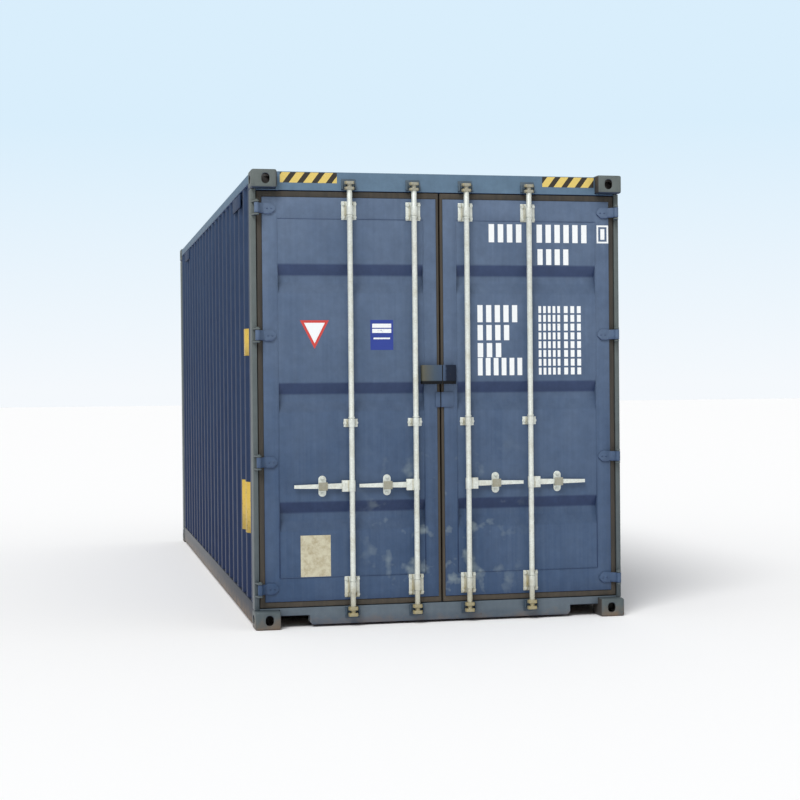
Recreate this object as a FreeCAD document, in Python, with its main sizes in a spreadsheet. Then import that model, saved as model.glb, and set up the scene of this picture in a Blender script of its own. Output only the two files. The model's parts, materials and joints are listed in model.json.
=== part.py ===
import FreeCAD
import Part
import Sketcher
import math
import os
from types import SimpleNamespace

# General-purpose container, twenty feet long and nine feet six high.
# Millimetres; Z up from the ground, X across, Y along, the doors face -Y.

SIZES = [
    # the frame
    ("body_width", 2438, "over the corner castings, across"),
    ("body_length", 6058, "over the corner castings, along"),
    ("body_height", 2896, "ground to the top castings"),
    ("casting_long", 178, "corner casting along the container"),
    ("casting_wide", 162, "corner casting across"),
    ("casting_high", 118, "corner casting height"),
    ("casting_face", 28, "plate with the twist-lock aperture"),
    ("casting_skin", 14, "other plates of a casting"),
    ("aperture_long", 124, "twist-lock aperture along"),
    ("aperture_wide", 63.5, "twist-lock aperture across"),
    ("aperture_from_side", 89.5, "aperture centre from the side face"),
    ("aperture_from_end", 102.5, "aperture centre from the end face"),
    ("side_hole_long", 79, "lashing hole in the side face"),
    ("end_hole_high", 64, "lashing hole in the end face"),
    ("lash_hole_wide", 51, "the short way of both lashing holes"),
    ("post_inset", 3, "posts back from the castings' faces"),
    ("post_wide", 30, "rear post beside the doors"),
    ("post_lip", 21, "rear post's lip behind the doors"),
    ("post_plate", 6, "plate of the posts"),
    ("front_post_wide", 51, "front post across"),
    ("rail_inset", 6, "side rails back from the castings' faces"),
    ("rail_ground", 16, "underside of the bottom rails"),
    ("rail_rise", 8, "bottom side rails above the floor's underside"),
    ("rail_shelf", 48, "top flange of the bottom side rails"),
    ("rail_foot", 30, "bottom flange of the bottom side rails"),
    ("rail_plate", 4, "plate of the rails"),
    ("tube_size", 60, "square tube of the top rails"),
    ("tube_skin", 3, "wall of the top rails"),
    ("roof_drop", 10, "top rails and roof below the castings' top"),
    ("header_drop", 6, "header below the castings' top"),
    ("header_plate", 7, "plate under the header and its castings"),
    ("header_lip", 38, "downstand behind the doors"),
    ("sill_plate", 9, "plate over the sill and its castings"),
    ("sill_skin", 6, "webs of the sill"),
    ("sill_deep", 72, "sill, front to back"),
    ("notch_wide", 192, "cut-out of the sill beside a casting"),
    ("notch_top", 78, "top of the cut-out"),
    ("notch_chamfer", 18, "corner cut off the sill beside the cut-out"),
    ("rebate_lip", 6, "plate the doors close towards"),
    # the walls, roof and floor
    ("skin", 2, "corrugated steel sheet"),
    ("wall_inset", 8, "side wall back from the castings' faces"),
    ("wall_crest", 72, "outer flat of a side corrugation"),
    ("wall_valley", 70, "inner flat of a side corrugation"),
    ("wall_slope", 68, "run of each slope"),
    ("wall_depth", 36, "depth of a side corrugation"),
    ("front_inset", 11, "front wall back from the castings' faces"),
    ("front_crest", 110, "outer flat of a front corrugation"),
    ("front_valley", 104, "inner flat of a front corrugation"),
    ("front_slope", 18, "run of each slope"),
    ("front_depth", 42, "depth of a front corrugation"),
    ("roof_crest", 91, "upper flat of a roof corrugation"),
    ("roof_valley", 70, "lower flat of a roof corrugation"),
    ("roof_slope", 24, "run of each slope"),
    ("roof_depth", 20, "depth of a roof corrugation"),
    ("floor_rise", 43, "floor above the sill"),
    ("floor_thick", 28, "plywood floor"),
    ("member_high", 122, "cross member height"),
    ("member_wide", 45, "cross member flange"),
    ("member_count", 17, "cross members"),
    ("member_from_sill", 290, "first cross member behind the sill"),
    ("vent_long", 440, "vent cover"),
    ("vent_high", 90, "vent cover height"),
    ("vent_thick", 7, "vent cover stands out"),
    ("vent_from_end", 669, "vent from the end face"),
    # the doors
    ("door_recess", 62, "door faces behind the castings' face"),
    ("leaf_thick", 50, "door leaf"),
    ("leaf_from_post", 38, "leaf edge to the post"),
    ("leaf_from_seam", 23, "leaf edge to the middle"),
    ("leaf_from_header", 43, "leaf top below the header"),
    ("leaf_from_sill", 41, "leaf bottom above the sill"),
    ("seal_gap", 5, "running gap round the seals"),
    ("seal_sink", 4, "seals behind the door faces"),
    ("rebate_gap", 10, "leaf back to the rebate"),
    ("stile_hinge", 94, "door frame at the hinges"),
    ("stile_seam", 85, "door frame at the seam"),
    ("door_top_rail", 134, "door frame along the top"),
    ("door_foot_rail", 150, "door frame along the bottom"),
    ("stile_skin", 3, "wall of the door frame"),
    ("groove_depth", 36, "recess of the door panel"),
    ("groove_slope", 72, "run of a recess slope"),
    ("groove_high", 188, "recess, edge to edge"),
    ("groove_base", 292, "lowest recess above the foot rail"),
    ("groove_top", 288, "highest recess below the top rail"),
    # hinges
    ("hinge_out", 44, "hinge axis in front of the door faces"),
    ("hinge_base", 84, "lowest hinge above the doors' feet"),
    ("hinge_top", 73, "highest hinge below the doors' tops"),
    ("pin_radius", 9.5, "hinge pin"),
    ("knuckle_radius", 15, "hinge knuckle"),
    ("knuckle_high", 64, "hinge knuckle height"),
    ("lug_gap", 4, "knuckle to lug"),
    ("lug_high", 10, "lug height"),
    ("strap_high", 72, "hinge strap height"),
    ("strap_thick", 10, "hinge strap"),
    ("strap_end", 122, "strap end from the hinge axis"),
    ("strap_chamfer", 26, "corners cut off the strap"),
    ("running_fit", 0.08, "radial play of pins and bars"),
    # locking gear
    ("bar_outer", 592, "outer locking bars from the middle"),
    ("bar_inner", 173, "inner locking bars from the middle"),
    ("bar_out", 38, "bar axis in front of the door faces"),
    ("bar_radius", 17, "locking bar"),
    ("bar_wall", 3.4, "wall of the locking bar"),
    ("bar_below_sill", 1, "locking bar's end below the sill's top"),
    ("bar_past_header", 4, "locking bar's end above the header's underside"),
    ("collar_radius", 21, "collar on a bar"),
    ("collar_high", 8, "collar height"),
    ("collar_gap", 5, "collar to bracket"),
    ("cam_radius", 32, "flange of a cam"),
    ("cam_front", 22, "front flat of a cam from its axis"),
    ("cam_neck", 15, "neck of a cam"),
    ("cam_slot", 18, "between the flanges of a cam"),
    ("cam_high_top", 53, "upper cam height"),
    ("cam_high_foot", 60, "lower cam height"),
    ("keeper_plate", 5, "plate behind a cam"),
    ("keeper_half", 46, "half the keeper's width"),
    ("keeper_cheek", 8, "cheek of a keeper"),
    ("keeper_deep", 28, "cheek in front of its plate"),
    ("tongue_half", 20, "half the tongue's width"),
    ("tongue_long", 18, "tongue in front of its plate"),
    ("tongue_thick", 8, "tongue thickness"),
    ("bracket_wide", 96, "bracket plate"),
    ("bracket_plate", 4, "bracket plate thickness"),
    ("strap_radius", 21.8, "outside of a bar strap"),
    ("bracket_top_drop", 82, "upper bracket's middle below the doors' tops"),
    ("bracket_top_high", 117, "upper bracket height"),
    ("bracket_foot_rise", 83, "lower bracket's middle above the doors' feet"),
    ("bracket_foot_high", 132, "lower bracket height"),
    ("guide_drop", 69, "middle guide below the middle recess"),
    ("guide_high", 52, "middle guide height"),
    ("handle_at", 895, "handles above the ground"),
    ("hub_high", 71, "clevis height"),
    ("hub_reach", 63, "clevis from the bar axis"),
    ("hub_back", 28, "clevis back from the bar axis"),
    ("pivot_reach", 46, "handle pivot from the bar axis"),
    ("pivot_radius", 6, "handle pivot"),
    ("handle_back", 8, "handle's front plane behind the bar axis"),
    ("handle_thick", 12, "handle thickness"),
    ("handle_reach", 370, "handle tip from the bar axis"),
    ("handle_root", 18, "half the handle's height at the pivot"),
    ("handle_tip", 10.5, "half the handle's height at the tip"),
    ("boss_reach", 187, "keeper and boss from the bar axis"),
    ("boss_radius", 15, "boss on the handle"),
    ("boss_thick", 11, "boss in front of the handle"),
    ("catch_wide", 50, "handle keeper plate"),
    ("catch_high", 134, "handle keeper plate height"),
    ("catch_thick", 5, "handle keeper plate thickness"),
    ("cradle_drop", 21, "cradle below the handle's middle"),
    ("cradle_thick", 8, "cradle"),
    ("cradle_out", 33, "cradle in front of the door face"),
    ("box_left", 132, "lock box, left end from the middle"),
    ("box_right", 97, "lock box, right end from the middle"),
    ("box_split", 3, "half the gap of the lock box"),
    ("box_bottom", 1537, "lock box above the ground"),
    ("box_high", 123, "lock box height"),
    ("box_deep", 60, "lock box in front of the door faces"),
    ("box_bevel_wide", 65, "bevel at the lock box's right end, across"),
    ("box_bevel_deep", 32, "the same bevel, front to back"),
    ("box_skin", 3, "lock box plate"),
    ("tab_left", 34, "plate under the lock box, left end"),
    ("tab_right", 85, "plate under the lock box, right end"),
    ("tab_bottom", 1388, "plate above the ground"),
    ("tab_high", 98, "plate height"),
    ("tab_thick", 6, "plate thickness"),
]

doc = FreeCAD.newDocument("shipping_container")
sheet = doc.addObject("Spreadsheet::Sheet", "Sizes")
for row, (alias, value, note) in enumerate(SIZES, 1):
    sheet.set(f"A{row}", note)
    sheet.set(f"B{row}", str(value))
    sheet.setAlias(f"B{row}", alias)
doc.recompute()


class Term:
    """A length with the sheet expression it comes from."""

    def __init__(self, value, text=None):
        self.value = float(value)
        self.text = text if text else f"({self.value!r})"

    def __add__(self, other):
        other = term(other)
        return Term(self.value + other.value, f"({self.text} + {other.text})")

    def __sub__(self, other):
        other = term(other)
        return Term(self.value - other.value, f"({self.text} - {other.text})")

    def __mul__(self, other):
        other = term(other)
        return Term(self.value * other.value, f"({self.text} * {other.text})")

    def __truediv__(self, other):
        other = term(other)
        return Term(self.value / other.value, f"({self.text} / {other.text})")

    def __neg__(self):
        return Term(-self.value, f"(-1 * {self.text})")

    def __radd__(self, other):
        return term(other) + self

    def __rsub__(self, other):
        return term(other) - self

    def __rmul__(self, other):
        return term(other) * self


def term(number):
    return number if isinstance(number, Term) else Term(number)


def root(number):
    return Term(math.sqrt(number.value), f"sqrt({number.text})")


def whole(number):
    return Term(math.floor(number.value), f"floor({number.text})")


s = SimpleNamespace(**{alias: Term(sheet.get(alias), f"Sizes.{alias}")
                       for alias, value, note in SIZES})


def bind(thing, **lengths):
    for name, length in lengths.items():
        thing.setExpression(name.replace("_", "."), term(length).text)


def block(label, x, y, z):
    """A box between pairs of planes."""
    box = doc.addObject("Part::Box", "Block")
    box.Label = label
    bind(box, Length=x[1] - term(x[0]), Width=y[1] - term(y[0]), Height=z[1] - term(z[0]),
         Placement_Base_x=x[0], Placement_Base_y=y[0], Placement_Base_z=z[0])
    return box


TURNS = {"X": ((0, 1, 0), 90), "Y": ((1, 0, 0), -90), "Z": ((0, 0, 1), 0)}


def rod(label, axis, x, y, z, radius, length):
    """A cylinder from a point, along an axis."""
    turn, angle = TURNS[axis]
    cylinder = doc.addObject("Part::Cylinder", "Rod")
    cylinder.Label = label
    cylinder.Placement.Rotation = FreeCAD.Rotation(FreeCAD.Vector(*turn), angle)
    bind(cylinder, Radius=radius, Height=length,
         Placement_Base_x=x, Placement_Base_y=y, Placement_Base_z=z)
    return cylinder


def fuse(label, *pieces):
    joined = doc.addObject("Part::MultiFuse", "Fuse")
    joined.Label = label
    joined.Shapes = list(pieces)
    joined.Refine = True
    return joined


def group(label, *pieces):
    """Solids that stand apart, kept as one piece."""
    several = doc.addObject("Part::Compound", "Group")
    several.Label = label
    several.Links = list(pieces)
    return several


def cut(label, base, *tools):
    rest = doc.addObject("Part::Cut", "Cut")
    rest.Label = label
    rest.Base = base
    rest.Tool = tools[0] if len(tools) == 1 else fuse(label + " tools", *tools)
    return rest


def mirror(label, source, across="X", at=0):
    """The same piece on the other side."""
    other = doc.addObject("Part::Mirroring", "Mirror")
    other.Label = label
    other.Source = source
    other.Normal = FreeCAD.Vector(*[float(across == axis) for axis in "XYZ"])
    bind(other, **{"Base_" + across.lower(): at})
    return other


def rectangle(u, v):
    return [(u[0], v[0]), (u[1], v[0]), (u[1], v[1]), (u[0], v[1])]


def inner(u, v, wall):
    return rectangle((u[0] + term(wall), u[1] - term(wall)),
                     (v[0] + term(wall), v[1] - term(wall)))


def body(label):
    thing = doc.addObject("PartDesign::Body", "Body")
    thing.Label = label
    return thing


def origin(owner, role):
    return next(item for item in owner.Origin.OriginFeatures if item.Role == role)


def profile(owner, plane, start, loops):
    """A sketch of closed outlines, each corner (or centre) tied to the sheet."""
    drawing = owner.newObject("Sketcher::SketchObject", "Sketch")
    drawing.AttachmentSupport = [(origin(owner, plane + "_Plane"), "")]
    drawing.MapMode = "FlatFace"
    ties, texts = [], []

    def tie(kind, *place, length):
        ties.append(Sketcher.Constraint(kind, *place, length.value))
        texts.append((len(ties) - 1, length.text))

    first = 0
    for loop in loops:
        if isinstance(loop, dict):
            u, v, radius = (term(loop[key]) for key in ("u", "v", "radius"))
            drawing.addGeometry(Part.Circle(FreeCAD.Vector(u.value, v.value, 0),
                                            FreeCAD.Vector(0, 0, 1), radius.value), False)
            tie("DistanceX", -1, 1, first, 3, length=u)
            tie("DistanceY", -1, 1, first, 3, length=v)
            tie("Radius", first, length=radius)
            first += 1
            continue
        corners = [(term(u), term(v)) for u, v in loop]
        count = len(corners)
        for n, (u, v) in enumerate(corners):
            next_u, next_v = corners[(n + 1) % count]
            drawing.addGeometry(Part.LineSegment(
                FreeCAD.Vector(u.value, v.value, 0),
                FreeCAD.Vector(next_u.value, next_v.value, 0)), False)
        for n, (u, v) in enumerate(corners):
            ties.append(Sketcher.Constraint("Coincident", first + n, 2,
                                            first + (n + 1) % count, 1))
            tie("DistanceX", -1, 1, first + n, 1, length=u)
            tie("DistanceY", -1, 1, first + n, 1, length=v)
        first += count
    drawing.addConstraint(ties)
    for number, text in texts:
        drawing.setExpression(f"Constraints[{number}]", text)
    bind(drawing, AttachmentOffset_Base_z=-term(start) if plane == "XZ" else start)
    return drawing


def pad(owner, plane, start, length, *loops):
    """Material from a plane at `start`, towards +X, +Y or +Z."""
    solid = owner.newObject("PartDesign::Pad", "Pad")
    solid.Profile = profile(owner, plane, start, loops)
    solid.Reversed = plane == "XZ"
    bind(solid, Length=length)
    return solid


def pocket(owner, plane, start, length, *loops):
    """The same span, taken away."""
    hole = owner.newObject("PartDesign::Pocket", "Pocket")
    hole.Profile = profile(owner, plane, start, loops)
    hole.Reversed = plane != "XZ"
    bind(hole, Length=length)
    return hole


def pattern(owner, features, axis, step, count):
    row = owner.newObject("PartDesign::LinearPattern", "Row")
    row.Originals = list(features)
    row.Direction = (origin(owner, axis + "_Axis"), [""])
    bind(row, Length=step * (term(count) - 1), Occurrences=count)
    owner.Tip = row
    return row


def corrugation(across, along, crest, slope, valley, depth, thick):
    """One wave of sheet from crest middle to crest middle; `across` is the crest's outer
    face and `depth` and `thick` go inwards from it."""
    run = slope.value / abs(slope.value)
    mitre = abs_thick(thick) * (root(depth * depth + slope * slope) - slope) / abs_depth(depth)
    half = crest / 2
    outer = [(across, along), (across, along + half), (across + depth, along + half + slope),
             (across + depth, along + half + slope + valley),
             (across, along + half + slope * 2 + valley),
             (across, along + crest + slope * 2 + valley)]
    back = [(across + thick, along + crest + slope * 2 + valley),
            (across + thick, along + half + slope * 2 + valley + mitre),
            (across + depth + thick, along + half + slope + valley + mitre),
            (across + depth + thick, along + half + slope - mitre),
            (across + thick, along + half - mitre), (across + thick, along)]
    return outer + back


def abs_thick(thick):
    return thick if thick.value > 0 else -thick


def abs_depth(depth):
    return depth if depth.value > 0 else -depth


# planes used by several pieces; the left side is -X
half_width = s.body_width / 2
half_length = s.body_length / 2
top = s.body_height
casting_x = half_width - s.casting_wide
casting_y = half_length - s.casting_long
leaf_front = s.door_recess - half_length
leaf_back = leaf_front + s.leaf_thick
rebate = leaf_back + s.rebate_gap
frame_front = leaf_front + s.keeper_plate
post_outer = s.post_inset - half_width
post_inner = post_outer + s.post_wide
lip_inner = post_inner + s.post_lip
rail_outer = s.rail_inset - half_width
wall_outer = s.wall_inset - half_width
header_under = top - s.casting_high - s.header_plate
sill_top = s.casting_high + s.sill_plate
floor_top = sill_top + s.floor_rise
floor_under = floor_top - s.floor_thick
rail_top = floor_under + s.rail_rise
leaf_x = (post_inner + s.leaf_from_post, -s.leaf_from_seam)
leaf_z = (sill_top + s.leaf_from_sill, header_under - s.leaf_from_header)
panel_x = (leaf_x[0] + s.stile_hinge, leaf_x[1] - s.stile_seam)
panel_z = (leaf_z[0] + s.door_foot_rail, leaf_z[1] - s.door_top_rail)
groove_first = panel_z[0] + s.groove_base
groove_step = (panel_z[1] - s.groove_top - s.groove_high - groove_first) / 2
bar_y = leaf_front - s.bar_out
bar_bottom = sill_top - s.bar_below_sill
bar_top = header_under + s.bar_past_header
bracket_top_at = leaf_z[1] - s.bracket_top_drop
bracket_foot_at = leaf_z[0] + s.bracket_foot_rise
guide_at = groove_first + groove_step - s.guide_drop
hinge_x = post_inner
hinge_y = leaf_front - s.hinge_out
hinge_first = leaf_z[0] + s.hinge_base
hinge_step = (leaf_z[1] - s.hinge_top - hinge_first) / 3
roof_top = top - s.roof_drop
rail_under = roof_top - s.tube_size
nodes = []


def node(thing):
    nodes.append(thing)
    return thing


# corner castings
shell = block("casting shell", (-half_width, -casting_x), (-half_length, -casting_y),
              (0, s.casting_high))
cavity = block("casting cavity", (s.casting_skin - half_width, -casting_x - s.casting_skin),
               (s.casting_skin - half_length, -casting_y - s.casting_skin),
               (s.casting_face, s.casting_high - s.casting_skin))


def slot(label, axis, x, y, z, long_axis, long, wide, depth):
    """A hole with round ends through a casting's plate."""
    reach = (long - wide) / 2
    shift = {name: (reach if name == long_axis else Term(0)) for name in "XYZ"}
    ends = [rod(f"{label} end", axis, x + shift["X"] * way, y + shift["Y"] * way,
                z + shift["Z"] * way, wide / 2, depth) for way in (-1, 1)]
    span = {name: ((long - wide) / 2 if name == long_axis else wide / 2) for name in "XYZ"}
    place = {"X": x, "Y": y, "Z": z}
    sides = [(place[name], place[name] + depth) if name == axis
             else (place[name] - span[name], place[name] + span[name]) for name in "XYZ"]
    return fuse(label, block(label + " middle", *sides), *ends)


aperture_x = s.aperture_from_side - half_width
aperture_y = s.aperture_from_end - half_length
twist = slot("twist-lock aperture", "Z", aperture_x, aperture_y, Term(-1), "Y",
             s.aperture_long, s.aperture_wide, s.casting_face + 2)
side_hole = slot("side hole", "X", -half_width - 1, aperture_y, s.casting_high / 2, "Y",
                 s.side_hole_long, s.lash_hole_wide, s.casting_skin + 2)
end_hole = slot("end hole", "Y", aperture_x, -half_length - 1, s.casting_high / 2, "Z",
                s.end_hole_high, s.lash_hole_wide, s.casting_skin + 2)
casting = cut("casting", shell, cavity, twist, side_hole, end_hole)
rear_pair = group("rear castings", casting, mirror("casting right", casting))
node(group("corner_castings_bottom", rear_pair, mirror("front castings", rear_pair, "Y")))
node(mirror("corner_castings_top", nodes[-1], "Z", top / 2))

# posts
post = node(body("rear_post_left"))
post_high = top - s.casting_high * 2
plate = s.post_plate
pad(post, "XY", s.casting_high, post_high,
    [(post_outer, leaf_front), (post_inner, leaf_front), (post_inner, rebate),
     (lip_inner, rebate), (lip_inner, -casting_y), (post_outer, -casting_y)],
    [(post_outer + plate, leaf_front + plate), (post_inner - plate, leaf_front + plate),
     (post_inner - plate, rebate + plate), (lip_inner - plate, rebate + plate),
     (lip_inner - plate, -casting_y - plate), (post_outer + plate, -casting_y - plate)])
node(mirror("rear_post_right", post))
post = node(body("front_post_left"))
span_x = (post_outer, post_outer + s.front_post_wide)
span_y = (casting_y, half_length - s.post_inset)
pad(post, "XY", s.casting_high, post_high, rectangle(span_x, span_y), inner(span_x, span_y, plate))
node(mirror("front_post_right", post))

# door header and sill
header = node(body("door_header"))
span_y, span_z = (frame_front, -casting_y), (top - s.casting_high, top - s.header_drop)
pad(header, "YZ", -casting_x, casting_x * 2, rectangle(span_y, span_z),
    inner(span_y, span_z, s.rail_plate))


def between_posts(back):
    """From post to post in front of their lips, and from lip to lip behind."""
    half = [(post_inner, frame_front), (post_inner, rebate), (lip_inner, rebate), (lip_inner, back)]
    return half + [(-x, y) for x, y in half[::-1]]


pad(header, "XY", header_under, s.header_plate, between_posts(-casting_y))
pad(header, "XY", top - s.casting_high - s.header_lip, s.header_lip - s.header_plate,
    rectangle((lip_inner, -lip_inner), (rebate, rebate + s.rebate_lip)))
sill = node(body("door_sill"))
notch_x = casting_x - s.notch_wide
sill_back = frame_front + s.sill_deep
for web_y in (frame_front, sill_back - s.sill_skin):
    pad(sill, "XZ", web_y, s.sill_skin,
        [(-casting_x, s.casting_high), (-casting_x, s.notch_top), (-notch_x, s.notch_top),
         (-notch_x, s.rail_ground + s.notch_chamfer), (s.notch_chamfer - notch_x, s.rail_ground),
         (notch_x - s.notch_chamfer, s.rail_ground), (notch_x, s.rail_ground + s.notch_chamfer),
         (notch_x, s.notch_top), (casting_x, s.notch_top), (casting_x, s.casting_high)])
pad(sill, "XY", s.rail_ground, s.sill_skin,
    rectangle((s.notch_chamfer - notch_x, notch_x - s.notch_chamfer), (frame_front, sill_back)))
pad(sill, "XY", s.casting_high, s.sill_plate, between_posts(sill_back))
pad(sill, "XY", sill_top, floor_top - sill_top,
    rectangle((lip_inner, -lip_inner), (rebate, rebate + s.rebate_lip)))

# front rails
for label, span_z in (("front_top_rail", (top - s.casting_high, roof_top)),
                      ("front_bottom_rail", (s.rail_ground, s.casting_high))):
    rail = node(body(label))
    span_y = (half_length - s.post_inset - s.tube_size, half_length - s.post_inset)
    pad(rail, "YZ", -casting_x, casting_x * 2, rectangle(span_y, span_z),
        inner(span_y, span_z, s.rail_plate))

# side rails
rail = node(body("top_rail_left"))
span_x, span_z = (rail_outer, rail_outer + s.tube_size), (rail_under, roof_top)
pad(rail, "XZ", -casting_y, casting_y * 2, rectangle(span_x, span_z),
    inner(span_x, span_z, s.tube_skin))
node(mirror("top_rail_right", rail))
rail = node(body("bottom_rail_left"))
low, thick = s.rail_ground, s.rail_plate
pad(rail, "XZ", -casting_y, casting_y * 2,
    [(rail_outer, low), (rail_outer + s.rail_foot, low), (rail_outer + s.rail_foot, low + thick),
     (rail_outer + thick, low + thick), (rail_outer + thick, rail_top - thick),
     (rail_outer + s.rail_shelf, rail_top - thick), (rail_outer + s.rail_shelf, rail_top),
     (rail_outer, rail_top)])
node(mirror("bottom_rail_right", rail))

# side walls
wall = node(body("side_wall_left"))
pitch = s.wall_crest + s.wall_slope * 2 + s.wall_valley
waves = whole(casting_y * 2 / pitch)
start = -(waves * pitch / 2)
wall_high = rail_under - rail_top
wave = pad(wall, "XY", rail_top, wall_high,
           corrugation(wall_outer, start, s.wall_crest, s.wall_slope, s.wall_valley,
                       s.wall_depth, s.skin))
pattern(wall, [wave], "Y", pitch, waves)
for span_y in ((-casting_y, start), (-start, casting_y)):
    pad(wall, "XY", rail_top, wall_high,
        rectangle((wall_outer, wall_outer + s.skin), span_y))
node(mirror("side_wall_right", wall))

# front wall
wall = node(body("front_wall"))
front_x = post_outer + s.front_post_wide
pitch = s.front_crest + s.front_slope * 2 + s.front_valley
waves = whole(-front_x * 2 / pitch)
start = -(waves * pitch / 2)
front_outer = half_length - s.front_inset
wave = pad(wall, "XY", s.casting_high, post_high,
           [(along, across) for across, along in
            corrugation(front_outer, start, s.front_crest, s.front_slope, s.front_valley,
                        -s.front_depth, -s.skin)])
pattern(wall, [wave], "X", pitch, waves)
for span_x in ((front_x, start), (-start, -front_x)):
    pad(wall, "XY", s.casting_high, post_high,
        rectangle(span_x, (front_outer - s.skin, front_outer)))

# roof
roof = node(body("roof"))
roof_x = rail_outer + s.tube_size
pitch = s.roof_crest + s.roof_slope * 2 + s.roof_valley
waves = whole(casting_y * 2 / pitch)
start = -(waves * pitch / 2)
wave = pad(roof, "YZ", roof_x, -roof_x * 2,
           [(along, across) for across, along in
            corrugation(roof_top, start, s.roof_crest, s.roof_slope, s.roof_valley,
                        -s.roof_depth, -s.skin)])
pattern(roof, [wave], "Y", pitch, waves)
for span_x, span_y in (((roof_x, -roof_x), (-casting_y, start)),
                       ((roof_x, -roof_x), (-start, casting_y)),
                       ((-casting_x, casting_x),
                        (casting_y, half_length - s.post_inset - s.tube_size))):
    pad(roof, "XY", roof_top - s.skin, s.skin, rectangle(span_x, span_y))

# floor and cross members
floor_front = front_outer - s.front_depth - s.skin
node(block("floor", (lip_inner, -lip_inner), (rebate + s.rebate_lip, floor_front),
           (floor_under, floor_top)))
members = node(body("cross_members"))
thick = s.rail_plate
member_first = sill_back + s.member_from_sill
member_step = (casting_y - s.member_wide - member_first) / (s.member_count - 1)
member_foot = floor_under - s.member_high
member = pad(members, "YZ", rail_outer + thick, -(rail_outer + thick) * 2,
             [(member_first, member_foot), (member_first + s.member_wide, member_foot),
              (member_first + s.member_wide, member_foot + thick),
              (member_first + thick, member_foot + thick),
              (member_first + thick, floor_under - thick),
              (member_first + s.member_wide, floor_under - thick),
              (member_first + s.member_wide, floor_under), (member_first, floor_under)])
pattern(members, [member], "Y", member_step, s.member_count)

# vent covers
vent_y = s.vent_from_end - half_length
vent = block("vent", (wall_outer - s.vent_thick, wall_outer), (vent_y, vent_y + s.vent_long),
             (rail_under - s.vent_high - 10, rail_under - 10))
vents = group("left vents", vent, mirror("vent front", vent, "Y"))
node(group("vents", vents, mirror("right vents", vents)))

# hinge lugs with their pins
lugs = node(body("hinge_lugs_left"))
reach = s.knuckle_high / 2 + s.lug_gap
outline = [(post_outer + 2, leaf_front), (hinge_x - 16, hinge_y + 3), (hinge_x - 9, hinge_y - 13),
           (hinge_x + 9, hinge_y - 13), (hinge_x + 16, hinge_y + 3), (hinge_x - 1, leaf_front)]
pin = {"u": hinge_x, "v": hinge_y, "radius": s.pin_radius}
features = [pad(lugs, "XY", hinge_first - reach - s.lug_high, s.lug_high, outline),
            pad(lugs, "XY", hinge_first + reach, s.lug_high, outline),
            pad(lugs, "XY", hinge_first - reach - s.lug_high, (reach + s.lug_high) * 2 + 6, pin)]
pattern(lugs, features, "Z", hinge_step, Term(4))
node(mirror("hinge_lugs_right", lugs))

# cam keepers on the header and sill
cam_top_middle = bar_top + s.cam_high_top / 2
cam_foot_middle = bar_bottom - s.cam_high_foot / 2
keepers = []
for bar_x in (-s.bar_outer, -s.bar_inner):
    for middle, low, high in ((cam_top_middle, cam_top_middle - s.cam_high_top / 2 + 2,
                               cam_top_middle + s.cam_high_top / 2 + 20),
                              (cam_foot_middle, cam_foot_middle - s.cam_high_foot / 2 - 14,
                               cam_foot_middle + s.cam_high_foot / 2 - 2)):
        cheeks = [block("keeper cheek", (bar_x + side[0], bar_x + side[1]),
                        (leaf_front - s.keeper_deep, leaf_front),
                        (middle - s.cam_high_top / 2 + 4, middle + s.cam_high_top / 2 - 4))
                  for side in ((-s.keeper_half, s.keeper_cheek - s.keeper_half),
                               (s.keeper_half - s.keeper_cheek, s.keeper_half))]
        keepers.append(fuse(
            "keeper", *cheeks,
            block("keeper plate", (bar_x - s.keeper_half, bar_x + s.keeper_half),
                  (leaf_front, frame_front), (low, high)),
            block("keeper tongue", (bar_x - s.tongue_half, bar_x + s.tongue_half),
                  (leaf_front - s.tongue_long, leaf_front),
                  (middle - s.tongue_thick / 2, middle + s.tongue_thick / 2))))
keepers = group("left keepers", *keepers)
node(group("cam_keepers", keepers, mirror("right keepers", keepers)))

# door leaves
wall = s.stile_skin
stiles = [block("stile cavity", span_x, (leaf_front + wall, leaf_back - wall),
                (leaf_z[0] - 1, leaf_z[1] + 1))
          for span_x in ((leaf_x[0] + wall, panel_x[0] - wall),
                         (panel_x[1] + wall, leaf_x[1] - wall))]
rails = [block("door rail cavity", (panel_x[0] - wall * 2, panel_x[1] + wall * 2),
               (leaf_front + wall, leaf_back - wall), span_z)
         for span_z in ((leaf_z[0] + wall, panel_z[0] - wall),
                        (panel_z[1] + wall, leaf_z[1] - wall))]
opening = block("door opening", panel_x, (leaf_front - 1, leaf_back + 1), panel_z)
frame = node(cut("door_frame_left", block("door leaf", leaf_x, (leaf_front, leaf_back), leaf_z),
                 opening, *stiles, *rails))
node(mirror("door_frame_right", frame))

panel = node(body("door_panel_left"))
depth, slope = s.groove_depth, s.groove_slope
mitre = s.skin * (root(depth * depth + slope * slope) - slope) / depth
face, back = [(leaf_front, panel_z[0])], [(leaf_front + s.skin, panel_z[0])]
for level in range(3):
    low = groove_first + groove_step * level
    high = low + s.groove_high
    face += [(leaf_front, low), (leaf_front + depth, low + slope),
             (leaf_front + depth, high - slope), (leaf_front, high)]
    back += [(leaf_front + s.skin, low - mitre), (leaf_front + depth + s.skin, low + slope - mitre),
             (leaf_front + depth + s.skin, high - slope + mitre),
             (leaf_front + s.skin, high + mitre)]
face.append((leaf_front, panel_z[1]))
back.append((leaf_front + s.skin, panel_z[1]))
pad(panel, "YZ", panel_x[0], panel_x[1] - panel_x[0], face + back[::-1])
node(mirror("door_panel_right", panel))

seal = node(body("door_gasket_left"))
gap = s.seal_gap
pad(seal, "XZ", leaf_front + s.seal_sink, s.leaf_thick - s.seal_sink,
    rectangle((post_inner + gap, -gap), (sill_top + gap, header_under - gap)),
    rectangle(leaf_x, leaf_z))
node(mirror("door_gasket_right", seal))

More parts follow.
